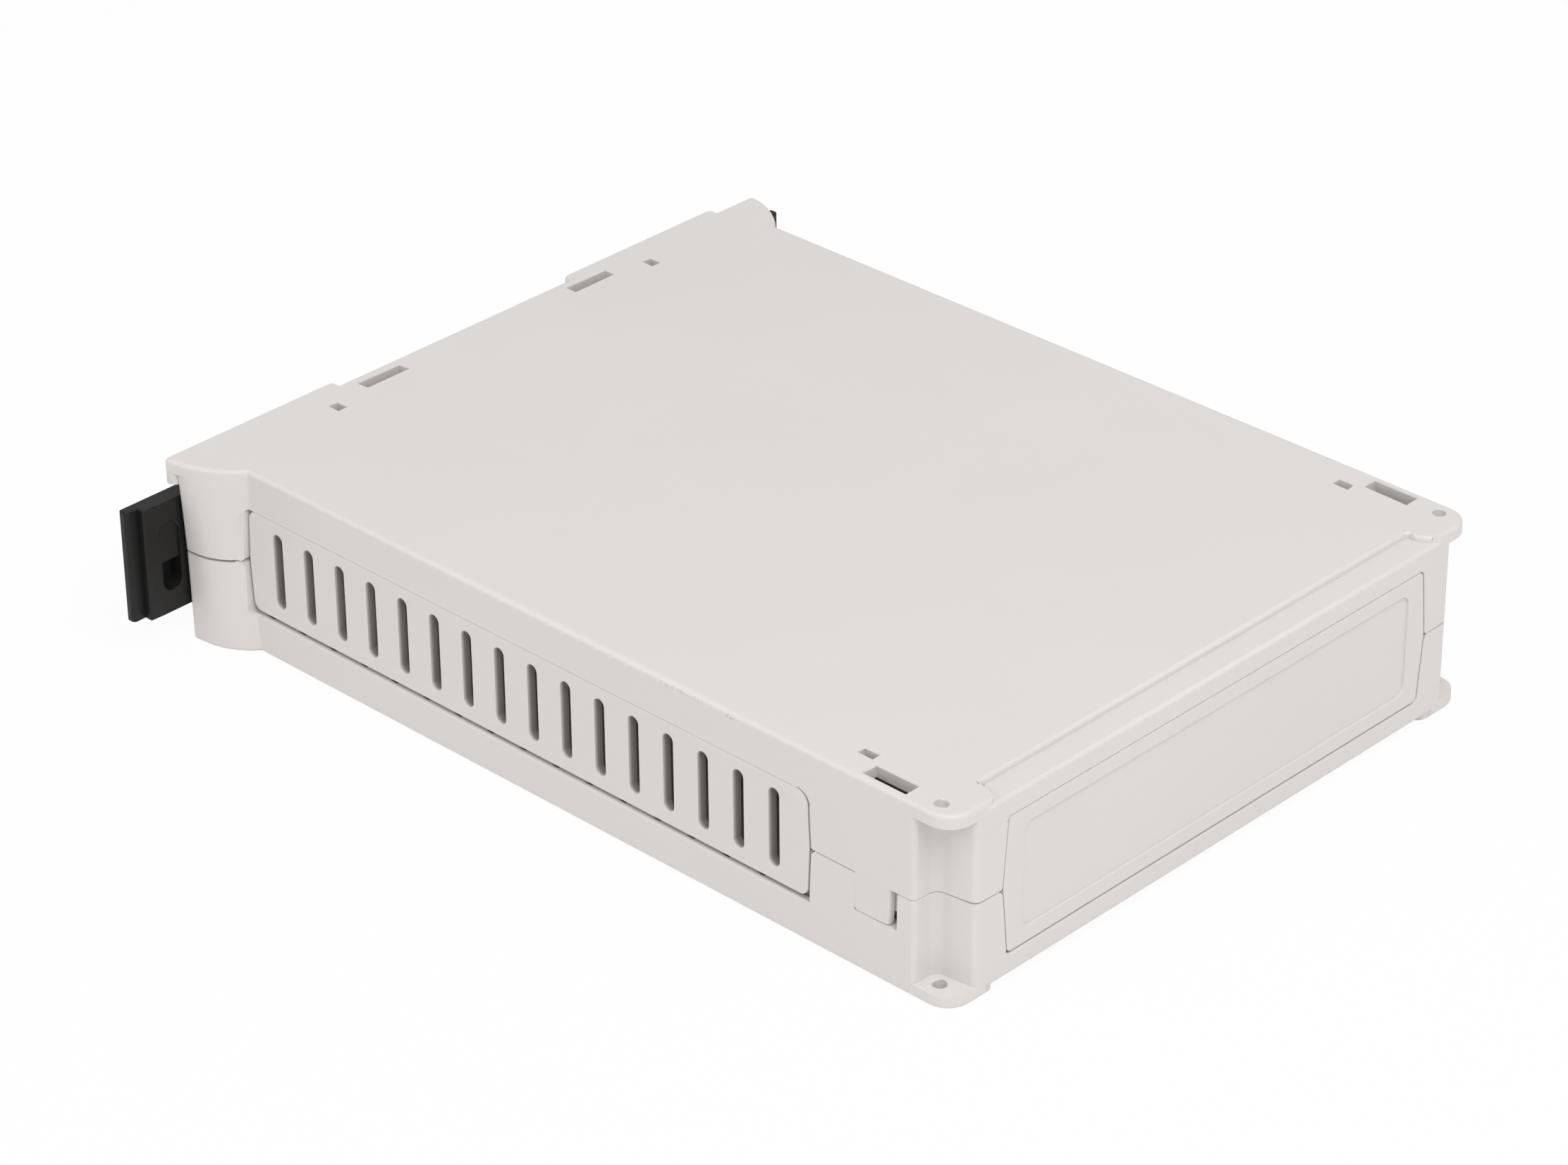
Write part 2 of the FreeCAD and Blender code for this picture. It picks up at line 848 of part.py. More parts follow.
def upper_shell():
    """Half shell with the snap tabs, board nubs and board stops."""
    shell = shell_blank(True)
    parts = []
    for side in (NEAR, FAR):
        parts += side_tab(side)
        parts += rear_tab(side)
        parts += board_nubs(side)
        parts += board_stops(side)
    shell = shell.cut(rear_key(key_play))
    return fuse_all([shell] + parts)


def lower_shell():
    """Half shell with the tab recesses, rear catches and screw bosses."""
    shell = shell_blank(False).mirror(Vec(0, 0, 0), Vec(0, 0, 1))
    parts = [rear_key(0.0)]
    cuts = []
    for side in (NEAR, FAR):
        cuts += side_tab_recess(side)
        cuts.append(rear_tab_recess(side))
        cuts += sill_notches(side)
        parts.append(rear_catch(side))
        parts += board_bosses(side)
    return fuse_all([shell.cut(fuse_all(cuts))] + parts)


def slot_places():
    """X of every slot centre, spaced evenly about the middle of a vent panel."""
    middle = (vent_rear + vent_front) / 2.0
    first = middle - slot_pitch * (slot_count - 1) / 2.0
    return [first + slot_pitch * index for index in range(slot_count)]


def vent_panel(side):
    """Vent panel: face, flange and thin web, with a row of upright slots with round ends."""
    back = panel_face + groove_play
    face = vent_layer(side, 0.0, vent_corner_round, vent_crest_round, 0.0, back)
    grow = flange_overlap + vent_gap - flange_play
    flange = vent_layer(
        side, grow, vent_corner_round, vent_corner_round, back, back + panel_flange
    )
    hollow = vent_layer(
        side, -vent_rim, vent_corner_round, vent_corner_round, vent_web, back + through
    )
    slots = []
    for x in slot_places():
        slot = rectangle(
            x - slot_width / 2.0,
            x + slot_width / 2.0,
            slot_rise - slot_length / 2.0,
            slot_rise + slot_length / 2.0,
            slot_width / 2.0,
        )
        slots.append(prism_y(slot, side_y(side, -through), side_y(side, through)))
    panel = face.fuse(flange).removeSplitter().cut(hollow).cut(Part.makeCompound(slots))
    return panel.translated(Vec(0, 0, vent_rise))


def front_panel():
    """Front panel: hexagonal face with a shallow label field, and the flange behind it."""
    back = case_length - panel_face - groove_play
    face = front_layer(0.0, back, case_length)
    flange = front_layer(flange_overlap + front_gap - flange_play, back - panel_flange, back)
    label = rectangle(
        rail_offset - front_half_width + label_margin,
        rail_offset + front_half_width - label_margin,
        -label_half_height,
        label_half_height,
        label_round,
    )
    field = prism_x(label, case_length - label_depth, case_length + through)
    return face.fuse(flange).removeSplitter().cut(field)


def slider(side):
    """Rail slider: grip, plate with pull slot, guide wings, arm and the hook behind the flange."""
    half = slider_height / 2.0
    reach = near_slider_reach if side == NEAR else far_slider_reach
    tip = side_y(side, -reach)
    wing_outer = side_y(side, groove_outer_inset + stop_gap)
    wing_inner = side_y(side, groove_outer_inset + stop_gap + wing_length)
    hook_tip = side * (rail_width / 2.0 + hook_open_gap)
    arm_end = hook_tip + side * hook_overlap
    grip_front = slider_rear + grip_thickness
    step = side_y(side, grip_length - reach)

    def block(x0, x1, y0, y1, height):
        return box(x0, x1, y0, y1, -height, height)

    grip = prism_z(
        [
            (slider_rear, tip, slider_round / 2.0),
            (grip_front, tip, slider_round),
            (grip_front, step, 0.0),
            (slider_rear, step, 0.0),
        ],
        -half,
        half,
    )
    plate = prism_z(
        [
            (slider_rear, step, 0.0),
            (slider_front, step, slider_round / 2.0),
            (slider_front, wing_inner, 0.0),
            (slider_rear, wing_inner, 0.0),
        ],
        -half,
        half,
    )
    wings = block(slider_front, slider_front + wing_thickness, wing_outer, wing_inner, wing_half_height)
    arm = block(slider_rear, -arm_gap, wing_inner, arm_end, half)
    hook_front = -rail_flange - hook_play
    hook = prism_z(
        [
            (hook_rear, arm_end + side * hook_overlap, 0.0),
            (hook_rear, hook_tip + side * hook_chamfer, 0.0),
            (hook_rear + hook_chamfer, hook_tip, slider_round / 2.0),
            (hook_front, hook_tip, 0.0),
            (hook_front, arm_end + side * hook_overlap, 0.0),
        ],
        -half,
        half,
    )
    solid = fuse_all([grip, plate, wings, arm, hook])
    slot_y = side_y(side, pull_slot_from_tip - reach)
    low = -pull_slot_length / 2.0
    radius = pull_slot_width / 2.0
    pocket = rectangle(
        slot_y - pull_slot_width / 2.0, slot_y + pull_slot_width / 2.0, low, -low, radius
    )
    hole = [
        (slot_y - pull_slot_width / 2.0, low, radius),
        (slot_y + pull_slot_width / 2.0, low, radius),
        (slot_y + pull_slot_width / 2.0, low + pull_hole_length, 0.0),
        (slot_y - pull_slot_width / 2.0, low + pull_hole_length, 0.0),
    ]
    solid = solid.cut(prism_x(pocket, slider_front - pull_slot_depth, slider_front + sink))
    return solid.cut(prism_x(hole, slider_front - pull_hole_depth, slider_front + sink))


def build():
    """All pieces by node name."""
    return {
        "upper_shell": upper_shell(),
        "lower_shell": lower_shell(),
        "front_panel": front_panel(),
        "vent_panel_near": vent_panel(NEAR),
        "vent_panel_far": vent_panel(FAR),
        "rail_slider_near": slider(NEAR),
        "rail_slider_far": slider(FAR),
    }


os.makedirs("parts", exist_ok=True)
for name, shape in build().items():
    solids = shape.Solids
    if len(solids) == 1:
        shape = solids[0]
    print(name, shape.isValid(), len(solids), round(shape.Volume, 1))
    shape.exportStep("parts/" + name + ".step")
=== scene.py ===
import json
import logging
import math
from dataclasses import dataclass, field
from enum import Enum
from typing import Callable, Sequence

import bmesh
import bpy
import numpy as np
from mathutils import Matrix, Vector

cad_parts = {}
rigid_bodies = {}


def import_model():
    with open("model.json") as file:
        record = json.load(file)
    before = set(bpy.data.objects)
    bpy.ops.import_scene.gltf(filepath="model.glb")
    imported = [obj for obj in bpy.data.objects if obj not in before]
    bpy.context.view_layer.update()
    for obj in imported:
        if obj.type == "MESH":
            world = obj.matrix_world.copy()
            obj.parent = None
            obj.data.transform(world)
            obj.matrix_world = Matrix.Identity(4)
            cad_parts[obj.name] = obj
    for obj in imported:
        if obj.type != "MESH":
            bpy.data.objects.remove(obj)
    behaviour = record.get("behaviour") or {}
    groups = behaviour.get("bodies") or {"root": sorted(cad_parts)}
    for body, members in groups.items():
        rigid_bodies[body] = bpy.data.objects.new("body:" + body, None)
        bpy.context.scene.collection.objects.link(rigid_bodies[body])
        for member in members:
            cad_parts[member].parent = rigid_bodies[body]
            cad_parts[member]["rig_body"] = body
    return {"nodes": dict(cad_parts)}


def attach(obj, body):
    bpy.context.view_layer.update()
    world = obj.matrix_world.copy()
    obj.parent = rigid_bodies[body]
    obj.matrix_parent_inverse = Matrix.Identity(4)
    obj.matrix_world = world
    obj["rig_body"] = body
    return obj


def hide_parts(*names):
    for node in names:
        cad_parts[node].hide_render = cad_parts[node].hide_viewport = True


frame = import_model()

log = logging.getLogger("module_case")
MM = 0.001
MICROMETRES_PER_METRE = 1e6
SAME_PLACE = 0.001 * MM
NEAR_FACE = -38.0 * MM
FAR_FACE = 44.0 * MM
CENTRE = (NEAR_FACE + FAR_FACE) / 2.0
Colour = tuple[float, float, float]
Point = tuple[float, float, float]


class Side(Enum):
    """The two long sides of the case, by the sign of Y."""

    NEAR = -1
    FAR = 1


class Slot(Enum):
    """Material slots of the record."""

    SHELL = "shell_plastic"
    PANEL = "panel_plastic"
    SLIDER = "slider_plastic"


# Shader maths


class Value:
    """One number of a shader, with arithmetic that adds Math nodes."""

    def __init__(self, shader: "Shader", socket: bpy.types.NodeSocket) -> None:
        """Keeps the shader and the socket that holds the number."""
        self.shader = shader
        self.socket = socket

    def _math(self, operation: str, first: object, second: object, clamp: bool = False) -> "Value":
        """Result of one Math node on two numbers or Values, held between 0 and 1 if clamp is set."""
        kind = {"operation": operation, "use_clamp": clamp}
        return Value(self.shader, self.shader.node("ShaderNodeMath", kind, {0: first, 1: second}).outputs[0])

    def __add__(self, other: object) -> "Value":
        """Sum."""
        return self._math("ADD", self, other)

    def __radd__(self, other: object) -> "Value":
        """Sum with a number on the left."""
        return self._math("ADD", other, self)

    def __sub__(self, other: object) -> "Value":
        """Difference."""
        return self._math("SUBTRACT", self, other)

    def __rsub__(self, other: object) -> "Value":
        """Difference with a number on the left."""
        return self._math("SUBTRACT", other, self)

    def __mul__(self, other: object) -> "Value":
        """Product."""
        return self._math("MULTIPLY", self, other)

    def __truediv__(self, other: object) -> "Value":
        """Quotient."""
        return self._math("DIVIDE", self, other)

    def held(self) -> "Value":
        """The value held between 0 and 1."""
        return self._math("ADD", self, 0.0, clamp=True)

    def smaller(self, other: object) -> "Value":
        """The smaller of two numbers."""
        return self._math("MINIMUM", self, other)

    def above(self, start: float, end: float) -> "Value":
        """0 below start, 1 above end and a straight rise between them."""
        return ((self - start) * (1.0 / (end - start))).held()


class Shader:
    """Node tree of one material, built from plain expressions."""

    def __init__(self, name: str) -> None:
        """Makes the material with an empty node tree."""
        self.material = bpy.data.materials.new(name)
        self.material.use_nodes = True
        self.tree = self.material.node_tree
        self.tree.nodes.clear()

    def node(self, kind: str, settings: dict | None = None, inputs: dict | None = None) -> bpy.types.Node:
        """Adds any node.

        Args:
            kind: Blender's node type.
            settings: Its settings, set first.
            inputs: Values, Values' sockets or sockets by input name or number.

        Returns:
            The new node.
        """
        made = self.tree.nodes.new(kind)
        for key, value in (settings or {}).items():
            setattr(made, key, value)
        for key, value in (inputs or {}).items():
            if isinstance(value, Value):
                value = value.socket
            if isinstance(value, bpy.types.NodeSocket):
                self.tree.links.new(value, made.inputs[key])
            else:
                made.inputs[key].default_value = value
        return made

    def place(self) -> bpy.types.NodeSocket:
        """Object coordinates, which are the case's own frame in metres."""
        return self.node("ShaderNodeTexCoord").outputs["Object"]

    def across(self) -> Value:
        """Y of the shaded point, across the case."""
        parts = self.node("ShaderNodeSeparateXYZ", None, {"Vector": self.place()})
        return Value(self, parts.outputs["Y"])

    def noise(self, size: float, detail: float = 2.0) -> Value:
        """Soft noise between 0 and 1, with patches of a size in metres and a number of finer octaves."""
        inputs = {"Vector": self.place(), "Scale": 1.0 / size, "Detail": detail, "Roughness": 0.5}
        return Value(self, self.node("ShaderNodeTexNoise", {"noise_dimensions": "3D"}, inputs).outputs["Fac"])

    def distance(self, point: Point, stretch: Point) -> Value:
        """Distance from a point.

        Args:
            point: The point in metres.
            stretch: Factor on the offset along each axis before it is measured.

        Returns:
            The distance in metres as a Value.
        """
        offset = self._vector_math("SUBTRACT", {0: self.place(), 1: point})
        scaled = self._vector_math("MULTIPLY", {0: offset.outputs[0], 1: stretch})
        length = self._vector_math("LENGTH", {0: scaled.outputs[0]})
        return Value(self, length.outputs["Value"])

    def _vector_math(self, operation: str, inputs: dict) -> bpy.types.Node:
        """Adds one Vector Math node."""
        return self.node("ShaderNodeVectorMath", {"operation": operation}, inputs)

    def mix(self, share: Value, first: object, second: object) -> bpy.types.NodeSocket:
        """Mix of two plain colours or sockets, from the first at share 0 to the second at share 1."""
        inputs = {0: share, 6: self._rgba(first), 7: self._rgba(second)}
        return self.node("ShaderNodeMix", {"data_type": "RGBA", "clamp_factor": True}, inputs).outputs[2]

    @staticmethod
    def _rgba(colour: object) -> object:
        """A plain colour with its alpha, or a socket as it is."""
        return (*colour, 1.0) if isinstance(colour, tuple) else colour

    def bump(self, height: Value, distance: float) -> bpy.types.NodeSocket:
        """Normal that follows a height map of the given depth in metres."""
        made = self.node(
            "ShaderNodeBump", None, {"Height": height, "Distance": distance, "Strength": 1.0}
        )
        return made.outputs[0]

    def surface(self, varying: dict, constant: dict) -> bpy.types.Material:
        """Closes the tree with a Principled BSDF.

        Args:
            varying: Linked inputs of the shader.
            constant: Plain numbers of the shader.

        Returns:
            The finished material.
        """
        shader = self.node("ShaderNodeBsdfPrincipled", None, {**constant, **varying})
        self.node("ShaderNodeOutputMaterial", None, {"Surface": shader.outputs[0]})
        return self.material


# Finishes


@dataclass(frozen=True)
class ScuffOrPaintedHighlight:
    """A rubbed or soiled patch on a moulding, or a band of painted highlight, in specks or even where no
    speck size is given.
    """

    point: Point
    reach: float
    stretch: Point
    colour: Colour
    cover: float = 0.5
    speck: float | None = 0.28 * MM
    speck_from: float = 0.54
    speck_full: float = 0.64

    def share(self, shader: Shader) -> Value:
        """How much of the patch's colour shows.

        Args:
            shader: The shader that it is added to.

        Returns:
            Full cover at the patch's middle, broken up by specks, and none past its reach.
        """
        near = 1.0 - shader.distance(self.point, self.stretch) / self.reach
        share = near.held() * self.cover
        if self.speck is None:
            return share
        return share * shader.noise(self.speck).above(self.speck_from, self.speck_full)


@dataclass(frozen=True)
class MouldedFinish:
    """Satin moulded plastic with eroded grain, soft cloudiness, a few marks of handling and, where given,
    painted highlight bands.
    """

    name: str
    colour: Colour
    cloud: Colour
    roughness: float = 0.46
    roughness_swing: float = 0.08
    grain_size: float = 0.16 * MM
    grain_depth: float = 0.006 * MM
    grain_swing: float = 0.06
    streak_size: float = 1.6 * MM
    cloud_size: float = 22 * MM
    cloud_from: float = 0.35
    cloud_full: float = 0.65
    sheen_level: float = 0.42
    scuffs_and_painted_highlights: tuple[ScuffOrPaintedHighlight, ...] = ()

    def tone(self, shader: Shader) -> bpy.types.NodeSocket:
        """Colour of the plastic.

        Args:
            shader: The shader that it is added to.

        Returns:
            A colour that drifts softly between two tones, with the scuffs and the painted highlight bands
            over it.
        """
        cloud = shader.noise(self.cloud_size, 3.0).above(self.cloud_from, self.cloud_full)
        colour = shader.mix(cloud, self.colour, self.cloud)
        for scuff_or_highlight in self.scuffs_and_painted_highlights:
            colour = shader.mix(scuff_or_highlight.share(shader), colour, scuff_or_highlight.colour)
        return colour

    def material(self) -> bpy.types.Material:
        """Builds the finish.

        Returns:
            A material with the finish's tone, whose roughness and bump follow the grain.
        """
        shader = Shader(self.name)
        colour = self.tone(shader)
        grain = shader.noise(self.grain_size, 3.0)
        streak = shader.noise(self.streak_size, 4.0)
        rough = self.roughness + (streak - 0.5) * self.roughness_swing
        rough = rough + (grain - 0.5) * self.grain_swing
        return shader.surface(
            {
                "Base Color": colour,
                "Roughness": rough,
                "Normal": shader.bump(grain, self.grain_depth),
            },
            {"Specular IOR Level": self.sheen_level, "IOR": 1.5},
        )


@dataclass(frozen=True)
class SlottedFinish(MouldedFinish):
    """Moulded plastic of a panel between two side faces, with painted shade in its slots."""

    # Painted shade: slot walls turn darker with depth, standing in for the shade inside the slots.
    slot_shade: Colour = (0.36, 0.325, 0.30)
    slot_shade_from: float = 0.10 * MM
    slot_shade_full: float = 0.50 * MM

    def tone(self, shader: Shader) -> bpy.types.NodeSocket:
        """Colour of the plastic with painted shade in its slots.

        Args:
            shader: The shader that it is added to.

        Returns:
            The plain tone, darkened by painted shade at a depth behind the nearer of the two side faces.
        """
        across = shader.across()
        # Painted shade rises with depth behind the nearer side face.
        depth = (across - NEAR_FACE).smaller(FAR_FACE - across)
        slot_shaded = depth.above(self.slot_shade_from, self.slot_shade_full)
        return shader.mix(slot_shaded, super().tone(shader), self.slot_shade)


WARM_GREY: Colour = (0.742, 0.706, 0.685)
WARM_GREY_CLOUD: Colour = (0.732, 0.696, 0.675)
SCUFF_TAN: Colour = (0.36, 0.29, 0.21)
# Cream colour of painted highlights along rounded rims.
RIM_PAINTED_HIGHLIGHT: Colour = (0.80, 0.765, 0.71)

SHELL_FINISH = MouldedFinish(
    name="shell_plastic_satin",
    colour=WARM_GREY,
    cloud=WARM_GREY_CLOUD,
    scuffs_and_painted_highlights=(
        # The first three are painted highlights: cream bands along the near top rim, the ledge rim and the
        # ledge's front edge. The last two are real tan scuffs.
        ScuffOrPaintedHighlight((0.0600, -0.0380, 0.01125), 0.8 * MM, (0.0145, 1.0, 1.0), RIM_PAINTED_HIGHLIGHT, 0.8, None),
        ScuffOrPaintedHighlight((0.1067, 0.0030, 0.0111), 0.45 * MM, (1.0, 0.0125, 1.0), RIM_PAINTED_HIGHLIGHT, 0.8, None),
        ScuffOrPaintedHighlight((0.1099, 0.0030, 0.0103), 0.45 * MM, (1.0, 0.0120, 1.0), RIM_PAINTED_HIGHLIGHT, 0.9, None),
        ScuffOrPaintedHighlight((0.0735, -0.0380, 0.0108), 0.6 * MM, (0.14, 1.0, 1.8), SCUFF_TAN, 0.75),
        ScuffOrPaintedHighlight((0.0805, -0.0380, 0.0107), 0.5 * MM, (0.25, 1.0, 1.5), SCUFF_TAN, 0.65),
    ),
)

PANEL_FINISH = MouldedFinish("panel_plastic_satin", WARM_GREY, WARM_GREY_CLOUD, roughness=0.48)
# Vent panels' finish, with painted shade in the slots.
VENT_FINISH = SlottedFinish("vent_plastic_satin", WARM_GREY, WARM_GREY_CLOUD, roughness=0.48)

SLIDER_FINISH = MouldedFinish(
    name="slider_plastic_black",
    colour=(0.0105, 0.0100, 0.0095),
    cloud=(0.0135, 0.0130, 0.0125),
    roughness=0.42,
    grain_size=0.22 * MM,
    grain_depth=0.010 * MM,
    cloud_size=9 * MM,
    sheen_level=0.25,
)


# Meshes


def read(items: bpy.types.bpy_prop_collection, name: str, width: int, kind: type) -> np.ndarray:
    """One property of all items of a mesh.

    Args:
        items: The mesh's vertices, edges, corners, faces or triangles.
        name: The property.
        width: Numbers in the property of one item.
        kind: Type of the numbers.

    Returns:
        An array with a row for each item, or with one number where the width is 1.
    """
    values = np.zeros(len(items) * width, kind)
    items.foreach_get(name, values)
    return values.reshape(-1, width) if width > 1 else values


def vertex_points(mesh: bpy.types.Mesh) -> np.ndarray:
    """Coordinates of a mesh's vertices as an array of N by 3."""
    return read(mesh.vertices, "co", 3, float)


def edge_ends(mesh: bpy.types.Mesh) -> np.ndarray:
    """Both end points of every edge as an array of N by 2 by 3."""
    return vertex_points(mesh)[read(mesh.edges, "vertices", 2, np.int32)]


def mesh_object(name: str, points: np.ndarray, faces: list[list[int]], smooth: bool) -> bpy.types.Object:
    """Makes an object at the origin from points in metres and faces by index.

    Args:
        name: Name of the piece.
        points: Array of N by 3 coordinates in metres.
        faces: Vertex numbers of each face.
        smooth: Whether faces are shaded smooth.

    Returns:
        The new object, linked to the scene.
    """
    mesh = bpy.data.meshes.new(name)
    mesh.from_pydata(points.tolist(), [], faces)
    mesh.update()
    mesh.polygons.foreach_set("use_smooth", np.full(len(mesh.polygons), smooth))
    made = bpy.data.objects.new(name, mesh)
    bpy.context.scene.collection.objects.link(made)
    return made


def merge_equal(points: np.ndarray, faces: list[list[int]]) -> tuple[np.ndarray, list[list[int]]]:
    """Merges points that lie within a micrometre and drops what collapses.

    Args:
        points: Array of N by 3 coordinates in metres.
        faces: Vertex numbers of each face.

    Returns:
        The merged points and the faces that still have three different corners.
    """
    keys = np.round(points * MICROMETRES_PER_METRE).astype(np.int64)
    _, first, back = np.unique(keys, axis=0, return_index=True, return_inverse=True)
    back = back.reshape(-1)
    kept = []
    for face in faces:
        ring = back[face]
        ring = ring[ring != np.roll(ring, 1)]
        if len(ring) > 2 and len(set(ring.tolist())) == len(ring):
            kept.append(ring.tolist())
    return points[first], kept


def ring_faces(rings: int, count: int, start: int = 0) -> list[list[int]]:
    """Quads between closed rings that lie one after another.

    Args:
        rings: Number of rings.
        count: Points in each ring.
        start: Number of the first point.

    Returns:
        Quads between ring r and r + 1, point i and i + 1, wrapped round.
    """
    row, column = np.meshgrid(np.arange(rings - 1), np.arange(count), indexing="ij")
    ahead = (column + 1) % count
    quads = np.stack(
        [row * count + column, row * count + ahead, (row + 1) * count + ahead, (row + 1) * count + column],
        axis=-1,
    )
    return (quads.reshape(-1, 4) + start).tolist()


@dataclass
class Outline:
    """Flat hexagon, widest at mid height, centred on the origin, with four rounded corners."""

    half_width: float
    half_height: float
    slant: float
    radius: float
    crest_radius: float | None = None
    corner_steps: int = 6
    side_end: float = 0.96

    def lean(self) -> float:
        """Angle between the slanted side and the vertical."""
        return math.atan2(self.slant, self.half_height)

    def corner_centre(self, radius: float) -> np.ndarray:
        """Centre of an upper right corner's arc, one radius inside the top and the side."""
        height, lean = self.half_height - radius, self.lean()
        return np.array([self.half_width - radius / math.cos(lean) - height * math.tan(lean), height])

    def arc(self, radius: float) -> tuple[np.ndarray, np.ndarray]:
        """Upper right corner's arc.

        Args:
            radius: Radius of the arc.

        Returns:
            Its points and outward normals, from the side to the top.
        """
        angles = np.linspace(self.lean(), math.pi / 2, self.corner_steps + 1)
        normals = np.stack([np.cos(angles), np.sin(angles)], axis=-1)
        return self.corner_centre(radius) + radius * normals, normals

    def rising(self, radius: float, sides: np.ndarray) -> tuple[np.ndarray, np.ndarray]:
        """Points and normals of an upper right side and its corner.

        Args:
            radius: Radius of the corner.
            sides: Heights of the side's points, rising.

        Returns:
            A side point at height h lies at half width minus slant times h over half height;
            heights are pressed together where they would pass the start of the arc.
        """
        arc, arc_normals = self.arc(radius)
        heights = sides * min(1.0, self.side_end * arc[0, 1] / sides[-1])
        side = np.stack([self.half_width - self.slant * heights / self.half_height, heights], axis=-1)
        outward = np.tile([math.cos(self.lean()), math.sin(self.lean())], (len(sides), 1))
        return np.concatenate([side, arc]), np.concatenate([outward, arc_normals])

    def half(self, tops: np.ndarray, sides: np.ndarray, radius: float) -> tuple[np.ndarray, np.ndarray]:
        """Upper half from the right side's middle to just before the left one's.

        Args:
            tops: X of the points on the straight top, from right to left.
            sides: Heights of the points on each side above its middle, rising.
            radius: Radius of the right corner.

        Returns:
            Points and outward normals. The left side mirrors a right one of the plain radius.
        """
        right, right_normals = self.rising(radius, sides)
        left, left_normals = self.rising(self.radius, sides)
        top = np.stack([tops, np.full(len(tops), self.half_height)], axis=-1)
        top_normals = np.tile([0.0, 1.0], (len(tops), 1))
        flip = np.array([-1.0, 1.0])
        points = np.concatenate([[[self.half_width, 0.0]], right, top, (left * flip)[::-1]])
        normals = np.concatenate([[[1.0, 0.0]], right_normals, top_normals, (left_normals * flip)[::-1]])
        return points, normals

    def ring(self, tops: np.ndarray, high: np.ndarray, low: np.ndarray) -> tuple[np.ndarray, np.ndarray]:
        """Whole outline, counter-clockwise from the right side's middle.

        Args:
            tops: X of the points on the straight top and bottom.
            high: Heights of the side points above the middle, rising.
            low: Distances of the side points below the middle, growing.

        Returns:
            Points and outward normals.
        """
        crest = self.radius if self.crest_radius is None else self.crest_radius
        upper, upper_normals = self.half(tops, high, crest)
        lower, lower_normals = self.half(tops, low, self.radius)
        return np.concatenate([upper, -lower]), np.concatenate([upper_normals, -lower_normals])


def quarter_round(radius: float, steps: int) -> list[tuple[float, float]]:
    """Profile of a rounded outer edge as (growth, depth) pairs, from the face to the side wall."""
    angles = np.linspace(0.0, math.pi / 2, steps + 1)
    return [(radius * (math.sin(a) - 1.0), radius * (1.0 - math.cos(a))) for a in angles]


# Softened copies of the solids


@dataclass(frozen=True)
class Block:
    """Box in the case's frame, from its low to its high corner."""

    low: Point
    high: Point

    def holds(self, points: np.ndarray) -> np.ndarray:
        """Which of the points lie in the box."""
        return np.all((points >= self.low) & (points <= self.high), axis=1)

    def both_sides(self) -> tuple["Block", "Block"]:
        """The box and its mirror image at the case's other long side.

        Returns:
            Both boxes. The mirror takes Y to twice the case's centre minus Y.
        """
        near, far = 2.0 * CENTRE - self.high[1], 2.0 * CENTRE - self.low[1]
        mirror = Block((self.low[0], near, self.low[2]), (self.high[0], far, self.high[2]))
        return self, mirror


@dataclass(frozen=True)
class TightJoint:
    """Joint that presses tight: what lies in a box is drawn onto one plane across X."""

    block: Block
    level: float

    def draw(self, points: np.ndarray) -> None:
        """Moves the points in the box along X to the level."""
        points[self.block.holds(points), 0] = self.level


@dataclass(frozen=True)
class RoundedEdges:
    """Edges wholly in a box, either its upright or its other ones, rounded before the finer ones."""

    block: Block
    offset: float
    segments: int = 5
    upright: bool = True

    def cut(self, work: bmesh.types.BMesh, ends: np.ndarray) -> None:
        """Rounds them.

        Args:
            work: The mesh as a bmesh.
            ends: Both end points of every edge. Only an upright one's share X and Y.
        """
        inside = self.block.holds(ends[:, 0]) & self.block.holds(ends[:, 1])
        upright = np.abs(ends[:, 0, :2] - ends[:, 1, :2]).max(axis=1) < SAME_PLACE
        work.edges.ensure_lookup_table()
        chosen = [work.edges[index] for index in np.flatnonzero(inside & (upright == self.upright))]
        bmesh.ops.bevel(
            work, geom=chosen, offset=self.offset, segments=self.segments, profile=0.5, affect="EDGES"
        )


@dataclass(frozen=True)
class PartingGap:
    """How far each half is drawn back from the parting plane, more towards the rail end."""

    front_shift: float = 0.055 * MM
    rail_shift: float = 0.16 * MM
    rail_end: float = 7.0 * MM
    front_end: float = 16.0 * MM

    def open(self, points: np.ndarray, way: float) -> None:
        """Moves the points on the parting plane.

        Args:
            points: Array of N by 3 coordinates in metres.
            way: 1 to move up, -1 to move down, 0 to leave them. The shift falls in a straight
                line from the rail end to the front end and is constant outside them.
        """
        on_plane = np.abs(points[:, 2]) < SAME_PLACE
        ends, shifts = [self.rail_end, self.front_end], [self.rail_shift, self.front_shift]
        points[on_plane, 2] = way * np.interp(points[on_plane, 0], ends, shifts)


def edges_near(ends: np.ndarray, spots: np.ndarray, reach: float) -> np.ndarray:
    """Which edges pass a spot within a distance.

    Args:
        ends: Both end points of every edge.
        spots: Array of M by 3 points.
        reach: The distance in metres.

    Returns:
        A flag for each edge. The nearest point of an edge is the foot of the spot on its line,
        held between its ends.
    """
    along = ends[:, 1] - ends[:, 0]
    offset = spots[None] - ends[:, None, 0]
    share = np.einsum("esi,ei->es", offset, along) / (np.einsum("ei,ei->e", along, along) + 1e-18)[:, None]
    foot = ends[:, None, 0] + np.clip(share, 0.0, 1.0)[..., None] * along[:, None]
    return (np.linalg.norm(spots[None] - foot, axis=2) < reach).any(axis=1)


